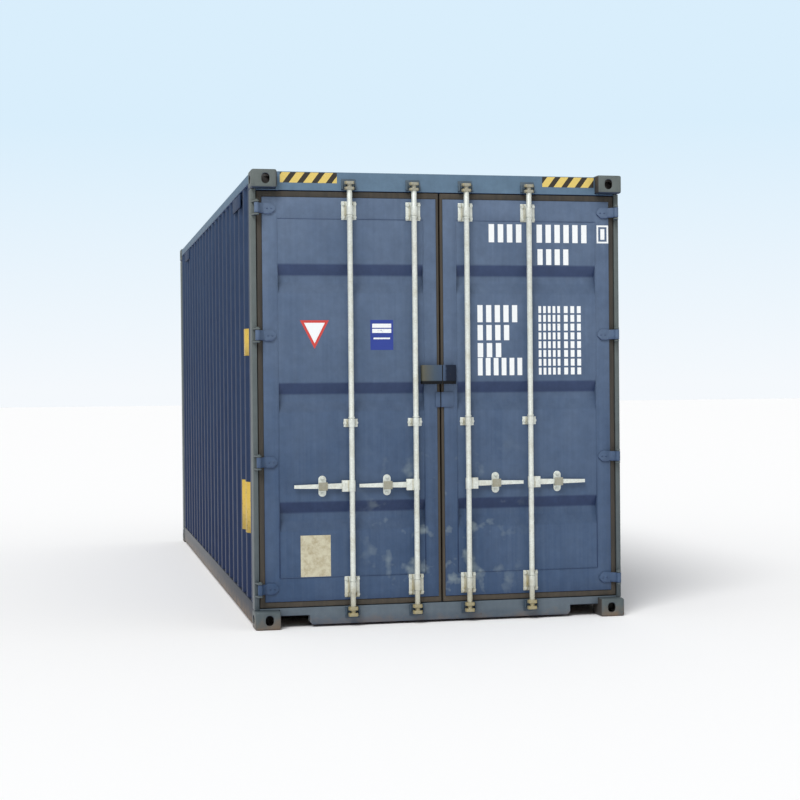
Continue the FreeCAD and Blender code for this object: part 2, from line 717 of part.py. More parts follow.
# hinge blades
blades = node(body("hinge_blades_left"))
strap_front = leaf_front - s.strap_thick
bend = hinge_x + 55
half = s.knuckle_high / 2
arm = [(bend, leaf_front), (bend - 14, leaf_front), (hinge_x - 3, hinge_y + 3),
       (hinge_x + 3, hinge_y - 3), (bend - 11, strap_front), (bend, strap_front)]
tip, tall = hinge_x + s.strap_end, s.strap_high / 2
strap = [(bend - 4, hinge_first - tall), (tip - s.strap_chamfer, hinge_first - tall),
         (tip, hinge_first - tall + s.strap_chamfer), (tip, hinge_first + tall - s.strap_chamfer),
         (tip - s.strap_chamfer, hinge_first + tall), (bend - 4, hinge_first + tall)]
features = [pad(blades, "XZ", strap_front, s.strap_thick, strap),
            pad(blades, "XY", hinge_first - half, s.knuckle_high, arm),
            pad(blades, "XY", hinge_first - half, s.knuckle_high,
                {"u": hinge_x, "v": hinge_y, "radius": s.knuckle_radius}),
            pocket(blades, "XY", hinge_first - half - 1, s.knuckle_high + 2,
                   {"u": hinge_x, "v": hinge_y, "radius": s.pin_radius + s.running_fit})]
pattern(blades, features, "Z", hinge_step, Term(4))
node(mirror("hinge_blades_right", blades))


# locking gear of one door
def bracket(bar_x, middle, high, strap_high, wide):
    """Plate on the door and a strap round the bar."""
    bore = s.bar_radius + s.running_fit
    plate_front = leaf_front - s.bracket_plate
    low, tall = middle - strap_high / 2, strap_high
    strap = fuse("strap body", rod("strap round", "Z", bar_x, bar_y, low, s.strap_radius, tall),
                 block("strap legs", (bar_x - s.strap_radius, bar_x + s.strap_radius),
                       (bar_y, plate_front), (low, low + tall)))
    room = fuse("strap room", rod("strap bore", "Z", bar_x, bar_y, low - 1, bore, tall + 2),
                block("strap back", (bar_x - bore, bar_x + bore), (bar_y, plate_front),
                      (low - 1, low + tall + 1)))
    return fuse("bracket", cut("strap", strap, room),
                block("bracket plate", (bar_x - wide / 2, bar_x + wide / 2),
                      (plate_front, leaf_front), (middle - high / 2, middle + high / 2)))


def lock_bar(label, bar_x):
    collars = [rod("collar", "Z", bar_x, bar_y, low, s.collar_radius, s.collar_high)
               for low in (bracket_top_at - s.bracket_top_high / 4 - s.collar_gap
                           - s.collar_high,
                           bracket_foot_at + s.bracket_foot_high / 4 + s.collar_gap,
                           guide_at + s.guide_high / 2 + s.collar_gap)]
    hub_z = (s.handle_at - s.hub_high / 2, s.handle_at + s.hub_high / 2)
    hub_low = hub_z[0]
    cheek_front = bar_y + s.handle_back - 9
    cheek_back = bar_y + s.handle_back + s.handle_thick + 1
    cheeks = [block("clevis cheek", (bar_x - s.hub_reach, bar_x), span_y, hub_z)
              for span_y in ((cheek_front, cheek_front + 8), (cheek_back, bar_y + s.hub_back))]
    web = block("clevis web", (bar_x - 22, bar_x + 10), (bar_y, bar_y + s.hub_back), hub_z)
    sleeve = rod("clevis sleeve", "Z", bar_x, bar_y, hub_low, s.collar_radius, s.hub_high)
    hub_pin = rod("pivot pin", "Y", bar_x - s.pivot_reach, cheek_front - 3, s.handle_at,
                  s.pivot_radius, cheek_back - cheek_front + 13)
    outside = fuse(label + " outside", sleeve, web, hub_pin, *cheeks, *collars,
                   rod("bar", "Z", bar_x, bar_y, bar_bottom, s.bar_radius,
                       bar_top - bar_bottom))
    return cut(label, outside, rod("bar bore", "Z", bar_x, bar_y, bar_bottom - 1,
                                   s.bar_radius - s.bar_wall, bar_top - bar_bottom + 2))


def cam(bar_x, low, high):
    """Two flanges and a neck, flat in front."""
    flange = (high - s.cam_slot) / 2
    discs = [rod("cam flange", "Z", bar_x, bar_y, level, s.cam_radius, flange)
             for level in (low, low + high - flange)]
    neck = rod("cam neck", "Z", bar_x, bar_y, low, s.cam_neck, high)
    front = block("cam front", (bar_x - 50, bar_x + 50), (bar_y - 50, bar_y - s.cam_front),
                  (low - 1, low + high + 1))
    return cut("cam", fuse("cam round", neck, *discs), front)


def handle(label, bar_x):
    pivot = bar_x - s.pivot_reach
    plane = bar_y + s.handle_back
    tall, tip = s.handle_root, s.handle_tip
    mid = s.handle_at
    lever = body(label)
    pad(lever, "XZ", plane, s.handle_thick,
        [(pivot + 10, mid - 12), (pivot + 10, mid + 12), (pivot, mid + tall),
         (pivot - 60, mid + tall - 1), (bar_x - s.handle_reach, mid + tip),
         (bar_x - s.handle_reach, mid - tip), (pivot - 60, mid - tall + 1), (pivot, mid - tall)],
        {"u": pivot, "v": mid, "radius": s.pivot_radius + s.running_fit})
    pad(lever, "XZ", plane - s.boss_thick, s.boss_thick + 1,
        {"u": bar_x - s.boss_reach, "v": mid, "radius": s.boss_radius})
    return lever


brackets, catches, bars, cams, handles = [], [], [], [], []
for number, bar_x in ((1, -s.bar_outer), (2, -s.bar_inner)):
    brackets += [bracket(bar_x, bracket_top_at, s.bracket_top_high, s.bracket_top_high / 2,
                         s.bracket_wide),
                 bracket(bar_x, bracket_foot_at, s.bracket_foot_high, s.bracket_foot_high / 2,
                         s.bracket_wide),
                 bracket(bar_x, guide_at, s.guide_high, s.guide_high, s.bracket_wide - 6)]
    bars.append(lock_bar(f"lock_bar_{number}", bar_x))
    cams.append(group(f"cams_{number}", cam(bar_x, bar_bottom - s.cam_high_foot,
                                            s.cam_high_foot),
                      cam(bar_x, bar_top, s.cam_high_top)))
    handles.append(handle(f"handle_{number}", bar_x))
    catch_x = bar_x - s.boss_reach
    span_x = (catch_x - s.catch_wide / 2, catch_x + s.catch_wide / 2)
    straight = (s.catch_high - s.catch_wide) / 2
    cradle_top = s.handle_at - s.cradle_drop
    catches.append(fuse(
        "handle keeper",
        block("keeper middle", span_x, (leaf_front - s.catch_thick, leaf_front),
              (s.handle_at - straight, s.handle_at + straight)),
        *[rod("keeper end", "Y", catch_x, leaf_front - s.catch_thick, s.handle_at + straight * way,
              s.catch_wide / 2, s.catch_thick) for way in (-1, 1)],
        block("cradle", (catch_x - 20, catch_x + 20), (leaf_front - s.cradle_out, leaf_front),
              (cradle_top - s.cradle_thick, cradle_top))))
node(group("bar_brackets_left", *brackets))
node(mirror("bar_brackets_right", nodes[-1]))
node(group("handle_keepers_left", *catches))
node(mirror("handle_keepers_right", nodes[-1]))
for pieces, label in ((bars, "lock_bar"), (cams, "cams"), (handles, "handle")):
    for piece in pieces:
        node(piece)
    node(mirror(f"{label}_3", pieces[1]))
    node(mirror(f"{label}_4", pieces[0]))


# lock box and the plate under it, each split at the seam
def lock_box(label, end, tab_end, side, bevel=None):
    """`end` and `tab_end` are measured from the middle; `side` is -1 for the left."""
    def outline(near, far, front, back):
        corner = [(far - bevel[0], front), (far, front + bevel[1])] if bevel else [(far, front)]
        return [(near, front), *corner, (far, back), (near, back)]

    front, skin = leaf_front - s.box_deep, s.box_skin
    cover = body(label + "_cover")
    pad(cover, "XY", s.box_bottom, s.box_high,
        outline(s.box_split * side, end * side, front, leaf_front))
    pocket(cover, "XY", s.box_bottom - 1, s.box_high - skin + 1,
           outline((s.box_split - 1) * side, (end - skin) * side, front + skin, leaf_front + 1))
    tab_x = sorted((s.box_split * side, tab_end * side), key=lambda length: length.value)
    tab = block(label + " plate", tab_x, (leaf_front - s.tab_thick, leaf_front),
                (s.tab_bottom, s.tab_bottom + s.tab_high))
    return group(label, cover, tab)


node(lock_box("lock_box_left", s.box_left, s.tab_left, -1))
node(lock_box("lock_box_right", s.box_right, s.tab_right, 1,
              bevel=(s.box_bevel_wide, s.box_bevel_deep)))

doc.recompute()
for thing in doc.Objects:
    if "Invalid" in thing.State or "Error" in thing.State:
        raise RuntimeError(f"{thing.Label} does not compute: {thing.State}")
    if hasattr(thing, "Shape") and not thing.isDerivedFrom("Sketcher::SketchObject") \
            and not thing.TypeId.startswith("App::"):
        if thing.Shape.isNull() or not thing.Shape.isValid():
            raise RuntimeError(f"{thing.Label} is not a sound shape")

os.makedirs("parts", exist_ok=True)
for thing in nodes:
    if not thing.Shape.Solids:
        raise RuntimeError(f"{thing.Label} has no solid")
    thing.Shape.exportStep(f"parts/{thing.Label}.step")
print(len(nodes), "parts written")
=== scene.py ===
"""Freight container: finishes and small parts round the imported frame."""

import json
import math

import bmesh
import bpy
from mathutils import Matrix, Vector

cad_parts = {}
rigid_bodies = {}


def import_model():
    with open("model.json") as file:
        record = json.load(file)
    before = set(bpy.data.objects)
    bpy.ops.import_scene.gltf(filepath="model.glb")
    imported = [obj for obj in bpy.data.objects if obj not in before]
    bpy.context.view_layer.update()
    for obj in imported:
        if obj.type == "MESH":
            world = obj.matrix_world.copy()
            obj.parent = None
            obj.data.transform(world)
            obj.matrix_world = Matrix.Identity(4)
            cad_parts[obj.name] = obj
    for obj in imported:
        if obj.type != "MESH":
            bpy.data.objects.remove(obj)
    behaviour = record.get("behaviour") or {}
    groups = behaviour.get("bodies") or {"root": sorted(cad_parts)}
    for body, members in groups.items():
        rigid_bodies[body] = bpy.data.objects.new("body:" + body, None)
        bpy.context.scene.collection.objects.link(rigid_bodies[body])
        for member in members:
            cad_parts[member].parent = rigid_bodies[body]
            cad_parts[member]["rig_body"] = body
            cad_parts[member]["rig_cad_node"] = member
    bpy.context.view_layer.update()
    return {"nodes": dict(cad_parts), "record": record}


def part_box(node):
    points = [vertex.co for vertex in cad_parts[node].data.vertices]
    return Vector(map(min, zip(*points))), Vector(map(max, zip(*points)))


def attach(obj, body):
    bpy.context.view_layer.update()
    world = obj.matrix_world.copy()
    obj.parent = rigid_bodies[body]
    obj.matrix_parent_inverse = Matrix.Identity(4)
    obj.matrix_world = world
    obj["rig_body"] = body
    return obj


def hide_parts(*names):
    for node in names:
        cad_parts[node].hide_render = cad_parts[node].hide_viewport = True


bl_info = {
    "name": "Freight Container",
    "version": (1, 0, 0),
    "blender": (4, 5, 0),
    "location": "View3D > Sidebar > Container",
    "description": "Paint, locking gear, seals, markings and stage of a freight container",
    "category": "Object",
}

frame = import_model()
NODES = frame["nodes"]
BODY_OF = {node: body for body, nodes in frame["record"]["behaviour"]["bodies"].items()
           for node in nodes}
SLOT_OF = {part["node"]: part["material_slot"] for part in frame["record"]["subparts"]}
SIDES = (("left", -1), ("right", 1))

DOOR_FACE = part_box("door_frame_left")[0].y
HEADER_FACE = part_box("door_header")[0].y

# places that several pieces share, in metres
BAR_AXES = (0.592, 0.173)        # outer and inner locking bar, from the doors' seam
CATCH_REACH = 0.187              # handle catch, from its bar's axis
CATCH_LEVEL = 0.895              # middle of the handle catches
BRACKETS = ((2.646, 0.042), (0.251, 0.05))   # end brackets: level, bolts above and below it
GUIDE_LEVEL = 1.295              # middle guide of each bar
SIGN_X, SIGN_TOP = -0.819, 1.949             # triangle on the left door

SMOOTH = math.radians(35)        # edges blunter than this are shaded smooth


def linear(code):
    """An sRGB hex colour as linear RGBA."""
    parts = [int(code[n:n + 2], 16) / 255 for n in (1, 3, 5)]
    return tuple(c / 12.92 if c <= 0.04045 else ((c + 0.055) / 1.055) ** 2.4 for c in parts) + (1,)


def colour_property(name, code, text):
    return bpy.props.FloatVectorProperty(name=name, description=text, subtype="COLOR", size=4,
                                         min=0, max=1, default=linear(code))


def length_property(name, metres, text):
    return bpy.props.FloatProperty(name=name, description=text, subtype="DISTANCE",
                                   unit="LENGTH", min=0, default=metres)


class CONTAINER_PG_colours(bpy.types.PropertyGroup):
    door_blue: colour_property("Door blue", "#344a69", "Paint of the doors")
    door_faded: colour_property("Faded door blue", "#6a7b93", "Chalked paint high on the doors")
    wall_blue: colour_property("Wall blue", "#1b2a4b", "Paint of the side walls and roof")
    wall_faded: colour_property("Faded wall blue", "#3a4c66", "Chalked paint of the walls")
    frame_blue: colour_property("Frame blue", "#4f595d", "Paint of the posts and castings")
    frame_faded: colour_property("Faded frame blue", "#666d6a", "Chalked paint of the posts")
    header_blue: colour_property("Header blue", "#4d657e", "Paint of the header and top rails")
    header_faded: colour_property("Faded header blue", "#60798e", "Chalked paint of the header")
    primer: colour_property("Scuff", "#78868e", "Pale scuffs where the paint is rubbed")
    rust: colour_property("Rust", "#5c3d28", "Rust in chips and along the bottom")
    rust_dust: colour_property("Rust dust", "#7a6146", "Rust stain washed over the paint")
    zinc: colour_property("Zinc", "#dfe4dd", "Galvanised bars and fittings")
    zinc_worn: colour_property("Worn zinc", "#a3a397", "Cams and catches with half their zinc")
    zinc_dirt_and_shade: colour_property("Zinc dirt and shade", "#a0946c", "Ochre dirt on the zinc, and painted shade beside the straps")
    rubber: colour_property("Rubber", "#33302b", "Door seals")
    rubber_dust: colour_property("Rubber dust", "#4f463a", "Rust dust on the seals")
    rail: colour_property("Rail", "#262d38", "Stained paint of the bottom rails")
    rail_faded: colour_property("Faded rail", "#353e4a", "Chalked paint of the bottom rails")
    sill: colour_property("Sill", "#5a6670", "Stained paint of the sill")
    sill_faded: colour_property("Faded sill", "#78828a", "Chalked paint of the sill")
    keeper: colour_property("Keeper", "#42515f", "Worn paint of the cam keepers")
    keeper_faded: colour_property("Faded keeper", "#5a6974", "Chalked paint of the keepers")
    box_end_shade: colour_property("Lock box end", "#25272a", "Shaded left end of the lock box")
    box_olive: colour_property("Lock box olive", "#5b594b", "Weathered left of the lock box")
    box_grey: colour_property("Lock box grey", "#465462", "Left middle of the lock box")
    box_blue: colour_property("Lock box blue", "#42526a", "Right middle of the lock box")
    # painted shade: the right part of the lock box is darkened to this navy
    box_right_shade: colour_property("Lock box navy", "#1b2435", "Painted shade at the right of the lock box")
    # painted shade: the black band for the shade inside the lock box's open underside
    box_mouth_shade: colour_property("Lock box mouth", "#101216", "Painted shade inside the lock box's open underside")
    # painted shade: the next two tints darken slopes by the way they face
    shade_facing_down: colour_property("Painted shade below", "#6f86bc", "Tints slopes that face down")
    shade_facing_up: colour_property("Painted shade above", "#e7eaec", "Tints slopes that face up")
    underframe: colour_property("Underframe", "#23272c", "Wax coating under the floor")
    underframe_worn: colour_property("Worn underframe", "#4b443d", "Thin patches of the wax")
    plywood: colour_property("Plywood", "#8c6d4c", "Floor face")
    plywood_dark: colour_property("Plywood grain", "#573f2b", "Floor grain")
    board_tint: colour_property("Board tint", "#efefef", "Tints every other floor board")
    board_joint: colour_property("Board joint", "#615955", "Tints the joints of the floor")
    white: colour_property("White vinyl", "#eef1f2", "Blocks on the right door")
    signal_red: colour_property("Red vinyl", "#c8403a", "Rim of the triangle")
    patch_blue: colour_property("Blue vinyl", "#233a8f", "Patch on the left door")
    plate_beige: colour_property("Plate", "#c8c3aa", "Worn plate on the left door")
    plate_stain: colour_property("Plate stain", "#9c8d6c", "Stains of the worn plate")
    stripe_yellow: colour_property("Yellow vinyl", "#cfae47", "Strips on the side wall")
    band_yellow: colour_property("Band yellow", "#dcc26a", "Pale part of the header bands")
    stripe_dark: colour_property("Dark vinyl", "#2f2a22", "Dark part of the stripes")
    floor: colour_property("Stage floor", "#fafafa", "Floor the container stands on")
    sky: colour_property("Backdrop", "#d9eefc", "Backdrop above the horizon")
    horizon: colour_property("Horizon", "#f5f9fd", "Backdrop at the horizon")
    daylight: colour_property("Daylight", "#f8f9fa", "Soft light from all round")


class CONTAINER_PG_sizes(bpy.types.PropertyGroup):
    casting_round: length_property("Casting edges", 0.015, "Rounding of the cast corners")
    plate_round: length_property("Plate edges", 0.0025, "Rounding of plates and posts")
    sheet_bend: length_property("Sheet bends", 0.008, "Half the width of a bend in the sheet")
    forged_round: length_property("Forged edges", 0.003, "Rounding of cams and handles")
    bar_round: length_property("Bar edges", 0.0012, "Rounding of the locking bars")
    bracket_round: length_property("Bracket edges", 0.0016, "Rounding of the bars' brackets")
    keeper_round: length_property("Keeper edges", 0.0015, "Rounding of the handle keepers")
    member_round: length_property("Member edges", 0.001, "Rounding of the cross members")
    seal_round: length_property("Seal edges", 0.005, "Rounding of the door seals")
    weld: length_property("Weld bead", 0.0035, "Radius of a weld bead")
    vinyl: length_property("Vinyl thickness", 0.0004, "Markings stand out by this")
    bolt: length_property("Bolt head", 0.019, "Bolt head across its flats")
    rivet: length_property("Rivet", 0.013, "Rivet head across")


def colours():
    return bpy.context.scene.container_colours


def sizes():
    return bpy.context.scene.container_sizes


# ---- small helpers -------------------------------------------------------------------------

def only(*pieces):
    """Selects these pieces and nothing else."""
    if bpy.context.object and bpy.context.object.mode != "OBJECT":
        bpy.ops.object.mode_set(mode="OBJECT")
    bpy.ops.object.select_all(action="DESELECT")
    for piece in pieces:
        piece.select_set(True)
    bpy.context.view_layer.objects.active = pieces[0]


def settle(piece, name, body, *materials, slot=None):
    """Puts a finished piece at the origin with its place in its mesh, painted and riding."""
    only(piece)
    bpy.ops.object.transform_apply(location=True, rotation=True, scale=True)
    piece.name = piece.data.name = name
    if materials:
        piece.data.materials.clear()
        for material in materials:
            piece.data.materials.append(material)
    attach(piece, body)
    return piece


def joined(pieces):
    """Pieces made one, which keeps the first one's place."""
    only(*pieces)
    bpy.ops.object.join()
    return bpy.context.object


def copied(master, places):
    """Copies of a piece, each with its own mesh, joined; the first piece is used up."""
    made = []
    for place in places:
        twin = master.copy()
        twin.data = master.data.copy()
        bpy.context.scene.collection.objects.link(twin)
        twin.data.transform(Matrix.Translation(place))
        made.append(twin)
    bpy.data.objects.remove(master)
    return joined(made)


def softened(node, *passes):
    """A copy of a CAD piece with its edges rounded in turns of (width, segments, pick), where
    pick chooses the edges and None stands for all the sharp ones."""
    piece = NODES[node].copy()
    piece.data = NODES[node].data.copy()
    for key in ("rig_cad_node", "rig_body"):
        if key in piece:
            del piece[key]
    piece.parent = None
    piece.hide_render = piece.hide_viewport = False
    bpy.context.scene.collection.objects.link(piece)
    only(piece)
    bpy.ops.object.mode_set(mode="EDIT")
    bpy.ops.mesh.select_mode(type="EDGE")
    bpy.ops.mesh.select_all(action="SELECT")
    # merge the loose triangles, and make one face of what lies flat
    bpy.ops.mesh.remove_doubles(threshold=0.00003)
    bpy.ops.mesh.dissolve_limited(angle_limit=math.radians(0.8))
    for width, segments, pick in passes:
        bpy.ops.mesh.select_all(action="DESELECT")
        shape = bmesh.from_edit_mesh(piece.data)
        for edge in shape.edges:
            if len(edge.link_faces) == 2 and (pick or sharp)(edge):
                edge.select_set(True)
        bmesh.update_edit_mesh(piece.data)
        bpy.ops.mesh.bevel(offset=width, segments=segments, affect="EDGES",
                           clamp_overlap=pick is None)
    bpy.ops.object.mode_set(mode="OBJECT")
    bpy.ops.object.shade_smooth_by_angle(angle=SMOOTH)
    return piece


def sharp(edge):
    return edge.calc_face_angle() > math.radians(30)


def finished(node, material, *passes):
    """A softened CAD piece, painted, riding on its body."""
    piece = softened(node, *passes)
    settle(piece, node + "_finished", BODY_OF[node], material, slot=SLOT_OF[node])
    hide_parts(node)
    return piece


def bend_along(axis):
    """Picks the bends of a corrugated sheet: long, blunt edges straight along an axis."""
    long, straight = 0.5, 0.999
    blunt, square = math.radians(15), math.radians(80)

    def pick(edge):
        run = edge.verts[1].co - edge.verts[0].co
        return abs(run[axis]) > max(long, straight * run.length) \
            and blunt < edge.calc_face_angle() < square
    return pick


def casting_edges(box, corner):
    """Picks the long outer edges of the castings in a box, or else the rims of their holes."""
    low, high = box
    size = (0.162, 0.178)        # one casting across and along
    near = 0.0001
    planes = [(high[n], high[n] - size[n]) for n in (0, 1)] + [(low.z, high.z)]

    def touching(vertex):
        place = (abs(vertex.co.x), abs(vertex.co.y), vertex.co.z)
        return {(n, plane) for n in range(3) for plane in planes[n]
                if abs(place[n] - plane) < near}

    def pick(edge):
        shared = touching(edge.verts[0]) & touching(edge.verts[1])
        return sharp(edge) and (len(shared) == 2 if corner else len(shared) == 1)
    return pick


def box_piece(low, high, round_off=0.0, segments=2):
    """A box between two corners with its edges rounded."""
    low, high = Vector(low), Vector(high)
    bpy.ops.mesh.primitive_cube_add(size=1, location=(low + high) / 2)
    piece = bpy.context.object
    piece.scale = high - low
    bpy.ops.object.transform_apply(location=True, rotation=True, scale=True)
    if round_off:
        bpy.ops.object.mode_set(mode="EDIT")
        bpy.ops.mesh.select_all(action="SELECT")
        bpy.ops.mesh.bevel(offset=round_off, segments=segments, affect="EDGES")
        bpy.ops.object.mode_set(mode="OBJECT")
        bpy.ops.object.shade_smooth_by_angle(angle=SMOOTH)
    return piece


def bead(start, end, radius):
    """A weld bead between two points, thinned to its ends."""
    start, end = Vector(start), Vector(end)
    run = end - start
    bpy.ops.mesh.primitive_cylinder_add(vertices=8, radius=radius, depth=run.length,
                                        location=(start + end) / 2,
                                        rotation=run.to_track_quat("Z", "Y").to_euler())
    piece = bpy.context.object
    bpy.ops.object.mode_set(mode="EDIT")
    bpy.ops.mesh.select_all(action="SELECT")
    bpy.ops.mesh.bevel(offset=radius * 0.35, segments=1, affect="EDGES")
    bpy.ops.object.mode_set(mode="OBJECT")
    bpy.ops.object.transform_apply(location=True, rotation=True, scale=True)
    bpy.ops.object.shade_smooth()
    return piece


def bolt_head():
    """A hexagon head on a washer, facing -Y from the origin."""
    across = sizes().bolt
    high, washer_thick = across * 0.45, 0.002
    bpy.ops.mesh.primitive_cylinder_add(vertices=20, radius=across * 0.75, depth=washer_thick,
                                        location=(0, -washer_thick / 2, 0),
                                        rotation=(math.pi / 2, 0, 0))
    washer = bpy.context.object
    bpy.ops.mesh.primitive_cylinder_add(vertices=6, radius=across / math.sqrt(3), depth=high,
                                        location=(0, -washer_thick - high / 2, 0),
                                        rotation=(math.pi / 2, 0, 0))
    head = bpy.context.object
    only(head)
    bpy.ops.object.transform_apply(location=True, rotation=True, scale=True)
    bpy.ops.object.mode_set(mode="EDIT")
    bpy.ops.mesh.select_all(action="SELECT")
    bpy.ops.mesh.bevel(offset=across * 0.06, segments=1, affect="EDGES")
    bpy.ops.object.mode_set(mode="OBJECT")
    only(washer)
    bpy.ops.object.transform_apply(location=True, rotation=True, scale=True)
    return joined([head, washer])


def rivet_head():
    """A low dome facing -Y from the origin."""
    bpy.ops.mesh.primitive_uv_sphere_add(segments=14, ring_count=8, radius=sizes().rivet / 2,
                                         rotation=(math.pi / 2, 0, 0))
    piece = bpy.context.object
    bpy.ops.object.transform_apply(location=True, rotation=True, scale=True)
    bpy.ops.object.mode_set(mode="EDIT")
    bpy.ops.mesh.select_all(action="SELECT")
    bpy.ops.mesh.bisect(plane_co=(0, 0, 0), plane_no=(0, 1, 0), clear_outer=True, use_fill=True)
    bpy.ops.mesh.select_all(action="SELECT")
    bpy.ops.transform.resize(value=(1, 0.55, 1), center_override=(0, 0, 0))
    bpy.ops.object.mode_set(mode="OBJECT")
    bpy.ops.object.shade_smooth_by_angle(angle=SMOOTH)
    return piece


# ---- finishes ------------------------------------------------------------------------------

# A colour Mix node takes its share, its first and its second colour at sockets 0, 6 and 7, and
# gives the result at output 2. A Math node takes its values at 0, 1 and 2.

def feed(tree, node, feeds):
    """Sets a node's sockets to plain values, or links them to what feeds them, where a node
    stands for its first output."""
    for socket, source in feeds.items():
        if isinstance(source, bpy.types.Node):
            source = source.outputs[0]
        if isinstance(source, bpy.types.NodeSocket):
            tree.links.new(source, node.inputs[socket])
        else:
            node.inputs[socket].default_value = source


def add(tree, kind, feeds=None, stops=None, **settings):
    """One node with its settings and what feeds it."""
    node = tree.nodes.new(kind)
    for name, value in settings.items():
        setattr(node, name, value)
    if stops:
        ramp = node.color_ramp
        while len(ramp.elements) < len(stops):
            ramp.elements.new(0.5)
        for element, (position, colour) in zip(ramp.elements, stops):
            element.position, element.color = position, colour
    feed(tree, node, feeds or {})
    return node


def new_finish(name):
    """A new material with its node tree, shader and place, or the one that is there already."""
    material = bpy.data.materials.get(name)
    if material:
        return material, None, None, None
    material = bpy.data.materials.new(name)
    material.use_nodes = True
    tree = material.node_tree
    shader = tree.nodes["Principled BSDF"]
    place = add(tree, "ShaderNodeTexCoord").outputs["Object"]
    return material, tree, shader, place


WHITE = (1, 1, 1, 1)


def sprayed_paint(name, fresh, faded, chalk=0.5, wear=0.5, low_rust=1.0, scuffs=0.0,
                  shine=0.3):
    """Two-part paint sprayed on weathering steel: half gloss, chalked towards the top, streaked by
    rain, with rust in its chips and along its lowest edge."""
    material, tree, shader, place = new_finish(name)
    if tree is None:
        return material
    tones = colours()
    axes = add(tree, "ShaderNodeSeparateXYZ", {0: place})
    # clouds of chalking about half a metre across, stronger higher up
    clouds = add(tree, "ShaderNodeTexNoise", {"Vector": place, "Scale": 1 / 0.55, "Detail": 5,
                                              "Roughness": 0.62})
    height = add(tree, "ShaderNodeMapRange", {"Value": axes.outputs["Z"], "From Min": 0.0,
                                              "From Max": 2.9, "To Min": -0.28, "To Max": 0.42})
    fade = add(tree, "ShaderNodeMath", {0: clouds, 1: chalk, 2: height},
               operation="MULTIPLY_ADD", use_clamp=True)
    # rain streaks about 25 mm wide and a metre long, uneven and faint
    tall = add(tree, "ShaderNodeMapping", {"Vector": place, "Scale": (38, 38, 0.8)})
    streaks = add(tree, "ShaderNodeTexNoise", {"Vector": tall, "Scale": 1,
                                               "Detail": 6, "Roughness": 0.7})
    streak = add(tree, "ShaderNodeMapRange", {"Value": streaks, "From Min": 0.35,
                                              "From Max": 0.7, "To Min": -0.05, "To Max": 0.08})
    total = add(tree, "ShaderNodeMath", {0: fade, 1: streak}, operation="ADD", use_clamp=True)
    base = add(tree, "ShaderNodeMix", {0: total, 6: fresh, 7: faded}, data_type="RGBA")
    # painted shade by the way a face tilts: slopes that face down are darkened and turned
    # bluer, and slopes that face up are dimmed a little against the light they catch from above
    normal = add(tree, "ShaderNodeSeparateXYZ",
                 {0: add(tree, "ShaderNodeNewGeometry").outputs["Normal"]})
    tilt = add(tree, "ShaderNodeMapRange", {"Value": normal.outputs["Z"], "From Min": -1.0})
    facing_shade = add(tree, "ShaderNodeValToRGB", {0: tilt},
               stops=[(0.25, tones.shade_facing_down), (0.45, WHITE), (0.55, WHITE),
                      (0.75, tones.shade_facing_up)])
    base = add(tree, "ShaderNodeMix", {0: 1.0, 6: base.outputs[2], 7: facing_shade},
               data_type="RGBA", blend_type="MULTIPLY")
    # blotchy grime, 80 mm patches
    grime = add(tree, "ShaderNodeTexNoise", {"Vector": place, "Scale": 1 / 0.08, "Detail": 8,
                                             "Roughness": 0.7})
    dull = add(tree, "ShaderNodeMapRange", {"Value": grime, "From Min": 0.3,
                                            "From Max": 0.75, "To Min": 0.86, "To Max": 1.1})
    base = add(tree, "ShaderNodeMix", {0: 1.0, 6: base.outputs[2], 7: dull},
               data_type="RGBA", blend_type="MULTIPLY")
    # pale rubs low beside the doors' seam
    near = add(tree, "ShaderNodeMath", {0: axes.outputs["X"]}, operation="ABSOLUTE")
    near = add(tree, "ShaderNodeMapRange", {"Value": near, "From Min": 0.12,
                                            "From Max": 0.62, "To Min": 1.0, "To Max": 0.0})
    low = add(tree, "ShaderNodeMapRange", {"Value": axes.outputs["Z"], "From Min": 0.75,
                                           "From Max": 1.3, "To Min": 1.0, "To Max": 0.0})
    where = add(tree, "ShaderNodeMath", {0: near, 1: low}, operation="MULTIPLY")
    rubs = add(tree, "ShaderNodeTexNoise", {"Vector": place, "Scale": 1 / 0.13, "Detail": 3,
                                            "Roughness": 0.55})
    rub = add(tree, "ShaderNodeMapRange", {"Value": rubs, "From Min": 0.56,
                                           "From Max": 0.7, "To Min": 0.0, "To Max": scuffs})
    rub = add(tree, "ShaderNodeMath", {0: rub, 1: where}, operation="MULTIPLY", use_clamp=True)
    base = add(tree, "ShaderNodeMix", {0: rub, 6: base.outputs[2],
                                       7: tones.primer}, data_type="RGBA")
    # rust washed down, thick in the lowest 200 mm
    foot = add(tree, "ShaderNodeMapRange", {"Value": axes.outputs["Z"], "From Min": 0.0,
                                            "From Max": 0.2, "To Min": low_rust, "To Max": 0.0})
    stain = add(tree, "ShaderNodeMath", {0: grime, 1: foot}, operation="MULTIPLY")
    stain = add(tree, "ShaderNodeMapRange", {"Value": stain, "From Min": 0.3, "From Max": 0.75})
    base = add(tree, "ShaderNodeMix", {0: stain, 6: base.outputs[2],
                                       7: tones.rust_dust}, data_type="RGBA")
    # chips down to rust, 5 to 20 mm, more of them low down
    chips = add(tree, "ShaderNodeTexNoise", {"Vector": place, "Scale": 1 / 0.03, "Detail": 10,
                                             "Roughness": 0.75})
    edge = add(tree, "ShaderNodeMapRange", {"Value": foot,
                                            "To Min": 0.735 - 0.05 * wear, "To Max": 0.62})
    chip = add(tree, "ShaderNodeMath", {0: chips, 1: edge}, operation="SUBTRACT")
    chip = add(tree, "ShaderNodeMapRange", {"Value": chip, "From Min": 0.0, "From Max": 0.02})
    base = add(tree, "ShaderNodeMix", {0: chip, 6: base.outputs[2], 7: tones.rust},
               data_type="RGBA")
    gloss = add(tree, "ShaderNodeMapRange", {"Value": total, "To Min": 0.42, "To Max": 0.6})
    rough = add(tree, "ShaderNodeMath", {0: chip, 1: 0.3, 2: gloss},
                operation="MULTIPLY_ADD", use_clamp=True)
